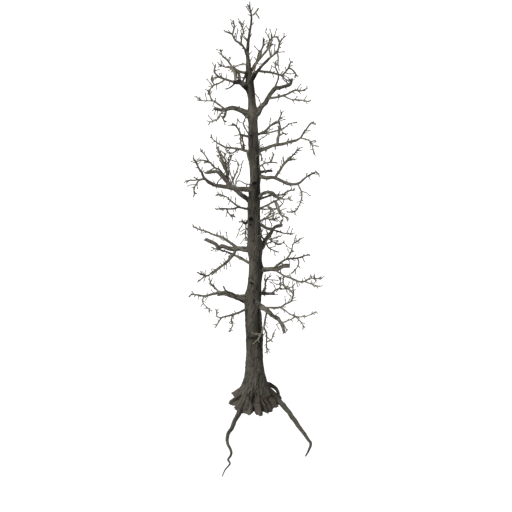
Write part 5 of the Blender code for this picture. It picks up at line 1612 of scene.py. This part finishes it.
def build_mass(mass, number, axes, twigs, crown, materials):
    """One mass: its stem and sides with bark, its twigs, and the finer twigs and spurs that they carry."""
    skin = Skin()
    dice = random.Random(mass.name + "_tints")
    seed = number * MASS_SEED_STEP
    stem, radii = axes[0]
    if mass.carrier == "trunk":
        stem, radii = out_of_trunk(stem, radii)
    stub = STUB_SLOT if mass.name in STUBS else None
    add_limb(skin, stem, np.maximum(radii, LEAST_AXIS), STEM_MESH, seed, 0, stub, mass.name)
    for index, (points, widths) in enumerate(axes[1:]):
        slot = dice.choice(TWIG_SLOTS)
        add_limb(skin, points, np.maximum(widths, LEAST_AXIS), SIDE_MESH, seed + index, slot)
    add_stubs(skin, mass.name, limb_places(STOUT_STUBS, mass.name, axes), seed)
    wide = node_room(mass.name, SPRIG_MARGIN, number, crown)
    add_sprigs(skin, mass.name, limb_places(SPRIGS, mass.name, axes), SPRIG_LEAN, wide, dice)
    fine, spurs = grow_finer(mass, axes, twigs, node_room(mass.name, NODE_MARGIN, number, crown))
    add_twigs(skin, OWN_TWIG, twigs, dice)
    add_twigs(skin, FINE_TWIG, fine, dice)
    add_twigs(skin, SPUR, spurs, dice)
    return skin.build(mass.name + "_wood", materials)


# ---------------------------------------------------------------- materials
def fill(tree, socket, value):
    """Link a socket to another, or give it a plain value."""
    if isinstance(value, bpy.types.NodeSocket):
        tree.links.new(value, socket)
    else:
        socket.default_value = value


def add_node(tree, kind, **settings):
    """A shader node with its inputs and settings filled in by name."""
    made = tree.nodes.new(kind)
    for name, value in settings.items():
        socket = made.inputs.get(name.replace("_", " "))
        if socket is None:
            setattr(made, name, value)
        else:
            fill(tree, socket, value)
    return made


def maths(tree, operation, first, second):
    """A Math node's result."""
    made = add_node(tree, "ShaderNodeMath", operation=operation)
    fill(tree, made.inputs[0], first)
    fill(tree, made.inputs[1], second)
    return made.outputs[0]


def mixed(tree, share, first, second):
    """A mix of two colours by a share."""
    made = add_node(tree, "ShaderNodeMix", data_type="RGBA")
    tree.links.new(share, made.inputs[0])
    for socket, value in zip((made.inputs[6], made.inputs[7]), (first, second)):
        fill(tree, socket, (*value, 1.0) if isinstance(value, tuple) else value)
    return made.outputs[2]


def spread(tree, value, span, first=0.0, last=1.0):
    """A value mapped from a span of (low, high) to first..last."""
    made = tree.nodes.new("ShaderNodeMapRange")
    for socket, number in zip(made.inputs, (value, *span, first, last)):
        fill(tree, socket, number)
    return made.outputs[0]


def new_material(name, roughness, specular=BARK_SPECULAR):
    """A new material, its node tree and its shader."""
    material = bpy.data.materials.new(name)
    material.use_nodes = True
    shader = material.node_tree.nodes["Principled BSDF"]
    shader.inputs["Roughness"].default_value = roughness
    shader.inputs["Specular IOR Level"].default_value = specular
    return material, material.node_tree, shader


def wrinkle(tree, shader, strength, distance, height):
    """Wrinkles in a shader's surface."""
    raised = add_node(tree, "ShaderNodeBump", Strength=strength, Distance=distance, Height=height)
    tree.links.new(raised.outputs[0], shader.inputs["Normal"])


def bark_material(name, shades, patch, grain, roughness, bump, patch_share=0.6, patch_top=None):
    """Bark: painted shade in its furrows and painted light on its ridges, streaked by fine grain, with
    patches of another colour.

    shades are the colours of crevice, face and ridge, and grain is the noise scale along X, Y and Z.
    Above a height of patch_top the patches are faint.
    """
    material, tree, shader = new_material(name, roughness)
    places = add_node(tree, "ShaderNodeTexCoord").outputs["Object"]
    stretched = add_node(tree, "ShaderNodeMapping", Vector=places, Scale=grain).outputs[0]
    fine = add_node(tree, "ShaderNodeTexNoise", Vector=stretched, Scale=1.0, Detail=6.0, Roughness=0.65)
    broad = add_node(tree, "ShaderNodeTexNoise", Vector=places, Scale=2.3, Detail=4.0, Roughness=0.6)
    # The relief attribute holds each point's tone and painted shade.
    relief = add_node(tree, "ShaderNodeAttribute", attribute_name="relief").outputs["Fac"]
    streak = maths(tree, "MULTIPLY", maths(tree, "SUBTRACT", fine.outputs[0], 0.5), STREAK_CONTRAST)
    shade = maths(tree, "ADD", relief, streak)
    # Below the crevice colour the bark passes into painted shadow.
    deep = mixed(tree, spread(tree, shade, DEEP_SPAN), PAINTED_SHADOW_COLOUR, shades[0])
    low = mixed(tree, spread(tree, shade, FACE_SPAN), deep, shades[1])
    colour = mixed(tree, spread(tree, shade, RIDGE_SPAN), low, shades[2])
    share = spread(tree, broad.outputs[0], PATCH_SPAN, 0.0, patch_share)
    if patch_top is not None:
        height = add_node(tree, "ShaderNodeSeparateXYZ", Vector=places).outputs[2]
        fade = spread(tree, height, (patch_top * PATCH_FADE_STARTS, patch_top), 1.0, FAINT_PATCH)
        share = maths(tree, "MULTIPLY", share, fade)
    tree.links.new(mixed(tree, share, colour, patch), shader.inputs["Base Color"])
    wrinkle(tree, shader, BARK_WRINKLES, bump, fine.outputs[0])
    return material


def twig_material(name, colour):
    """One plain twig colour, a little mottled, with fine wrinkles."""
    material, tree, shader = new_material(name, TWIG_ROUGHNESS)
    places = add_node(tree, "ShaderNodeTexCoord").outputs["Object"]
    mottle = add_node(tree, "ShaderNodeTexNoise", Vector=places, Scale=18.0, Detail=3.0).outputs[0]
    darker = tuple(part * TWIG_MOTTLE for part in colour)
    mottled = mixed(tree, spread(tree, mottle, MOTTLE_SPAN), darker, colour)
    tree.links.new(mottled, shader.inputs["Base Color"])
    wrinkle(tree, shader, TWIG_WRINKLES, TWIG_WRINKLE_HEIGHT, mottle)
    return material


# ---------------------------------------------------------------- stage
def floor_material():
    """A pale matt floor that glows a little, so that its shadows stay faint."""
    material, _, shader = new_material("pale_floor", 1.0, 0.0)
    shader.inputs["Base Color"].default_value = (*FLOOR_COLOUR, 1.0)
    shader.inputs["Emission Color"].default_value = (1.0, 1.0, 1.0, 1.0)
    shader.inputs["Emission Strength"].default_value = FLOOR_GLOW
    return material


def place(name, data):
    """A new object in the scene."""
    made = bpy.data.objects.new(name, data)
    bpy.context.scene.collection.objects.link(made)
    return made


def build_floor():
    """A wide round floor just under the tree."""
    mesh = bpy.data.meshes.new("floor")
    corners = [heading(360.0 * step / FLOOR_CORNERS, 0) * FLOOR_RADIUS for step in range(FLOOR_CORNERS)]
    mesh.from_pydata(corners, [], [tuple(range(FLOOR_CORNERS))])
    mesh.materials.append(floor_material())
    floor = place("floor", mesh)
    floor.location.z = -FLOOR_GAP


def build_light():
    """A white sky, and a soft sun for the key."""
    world = bpy.data.worlds.new("studio")
    world.use_nodes = True
    sky = world.node_tree.nodes["Background"]
    sky.inputs["Color"].default_value = (*SKY_COLOUR, 1.0)
    sky.inputs["Strength"].default_value = SKY_STRENGTH
    bpy.context.scene.world = world
    lamp = bpy.data.lights.new("key", "SUN")
    lamp.energy = KEY_STRENGTH
    lamp.angle = math.radians(KEY_SOFTNESS)
    place("key", lamp).rotation_euler = heading(KEY_BEARING, KEY_RISE).to_track_quat("Z", "Y").to_euler()


def build_camera():
    """The camera, and colours shown as they are."""
    lens = bpy.data.cameras.new("camera")
    lens.lens = LENS
    lens.clip_end = FLOOR_RADIUS * 2
    camera = place("camera", lens)
    camera.location = CAMERA_PLACE
    camera.rotation_euler = (math.radians(90 - CAMERA_DOWN), 0.0, 0.0)
    bpy.context.scene.camera = camera
    bpy.context.scene.view_settings.view_transform = "Standard"


# ---------------------------------------------------------------- the whole tree
def finish_piece(piece, node):
    """A piece stands for its CAD node: it hangs under the root body, and the node is hidden."""
    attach(piece, "root")
    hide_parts(node)


def trunk_heights():
    """The heights of the trunk solid's rings."""
    heights = list(LOW_RING_HEIGHTS)
    while heights[-1] + TRUNK_RING_STEP < TOP_STARTS:
        heights.append(heights[-1] + TRUNK_RING_STEP)
    while heights[-1] + TOP_RING_STEP < TREE_HEIGHT:
        heights.append(heights[-1] + TOP_RING_STEP)
    return heights + [TREE_HEIGHT]


def grow_solids():
    """What the solids are grown from: the crown, the boughs' lines, and the masses' axes and twigs."""
    crown = Crown()
    heights = trunk_heights()
    crown.add(TRUNK_OWNER, [trunk_centre(height) for height in heights],
              [between(TRUNK_RADII, height) for height in heights])
    lines = [bough_line(bough) for bough in BOUGHS]
    for number, (points, radii) in enumerate(lines):
        crown.lines[BOUGHS[number].name] = points
        crown.add(BOUGH_OWNER + number, points, radii)
    axes = [mass_axes(mass, number, crown) for number, mass in enumerate(MASSES)]
    twigs = [grow_twigs(mass, number, axes[number], crown) for number, mass in enumerate(MASSES)]
    return crown, lines, axes, twigs


def dress_roots():
    """The bark of the surface roots and of the small arched root."""
    root_bark = bark_material("root_bark_look", ROOT_SHADES, OLIVE_PATCH, grain=(22.0, 22.0, 22.0),
                              roughness=0.93, bump=0.006)
    for number, root in enumerate(ROOTS):
        finish_piece(build_root(root, [root_bark], ROOT_SEED + number), root.name)
    finish_piece(build_arch([root_bark], ARCH_SEED), "root_arch")


def dress_tree():
    """The bark of the trunk and the boughs, and the wood of every mass."""
    trunk_bark = bark_material("trunk_bark_look", TRUNK_SHADES, RED_PATCH, grain=(26.0, 26.0, 5.0),
                               roughness=0.93, bump=0.012, patch_share=0.75, patch_top=0.95)
    bough_bark = bark_material("bough_bark_look", BOUGH_SHADES, GREY_PATCH, grain=(30.0, 30.0, 30.0),
                               roughness=0.91, bump=0.006)
    wood = [twig_material(name, colour) for name, colour in TWIG_COLOURS]
    wood.append(twig_material("torn_wood", TORN_WOOD))
    crown, lines, axes, twigs = grow_solids()
    finish_piece(build_trunk(crown, [trunk_bark, *wood]), "trunk")
    for number, bough in enumerate(BOUGHS):
        piece = build_bough(bough, *lines[number], crown, [bough_bark, *wood], number)
        finish_piece(piece, bough.name)
    for number, mass in enumerate(MASSES):
        piece = build_mass(mass, number, axes[number], twigs[number], crown, [bough_bark, *wood])
        finish_piece(piece, mass.name)


dress_roots()
dress_tree()
build_floor()
build_light()
build_camera()
bpy.context.view_layer.update()
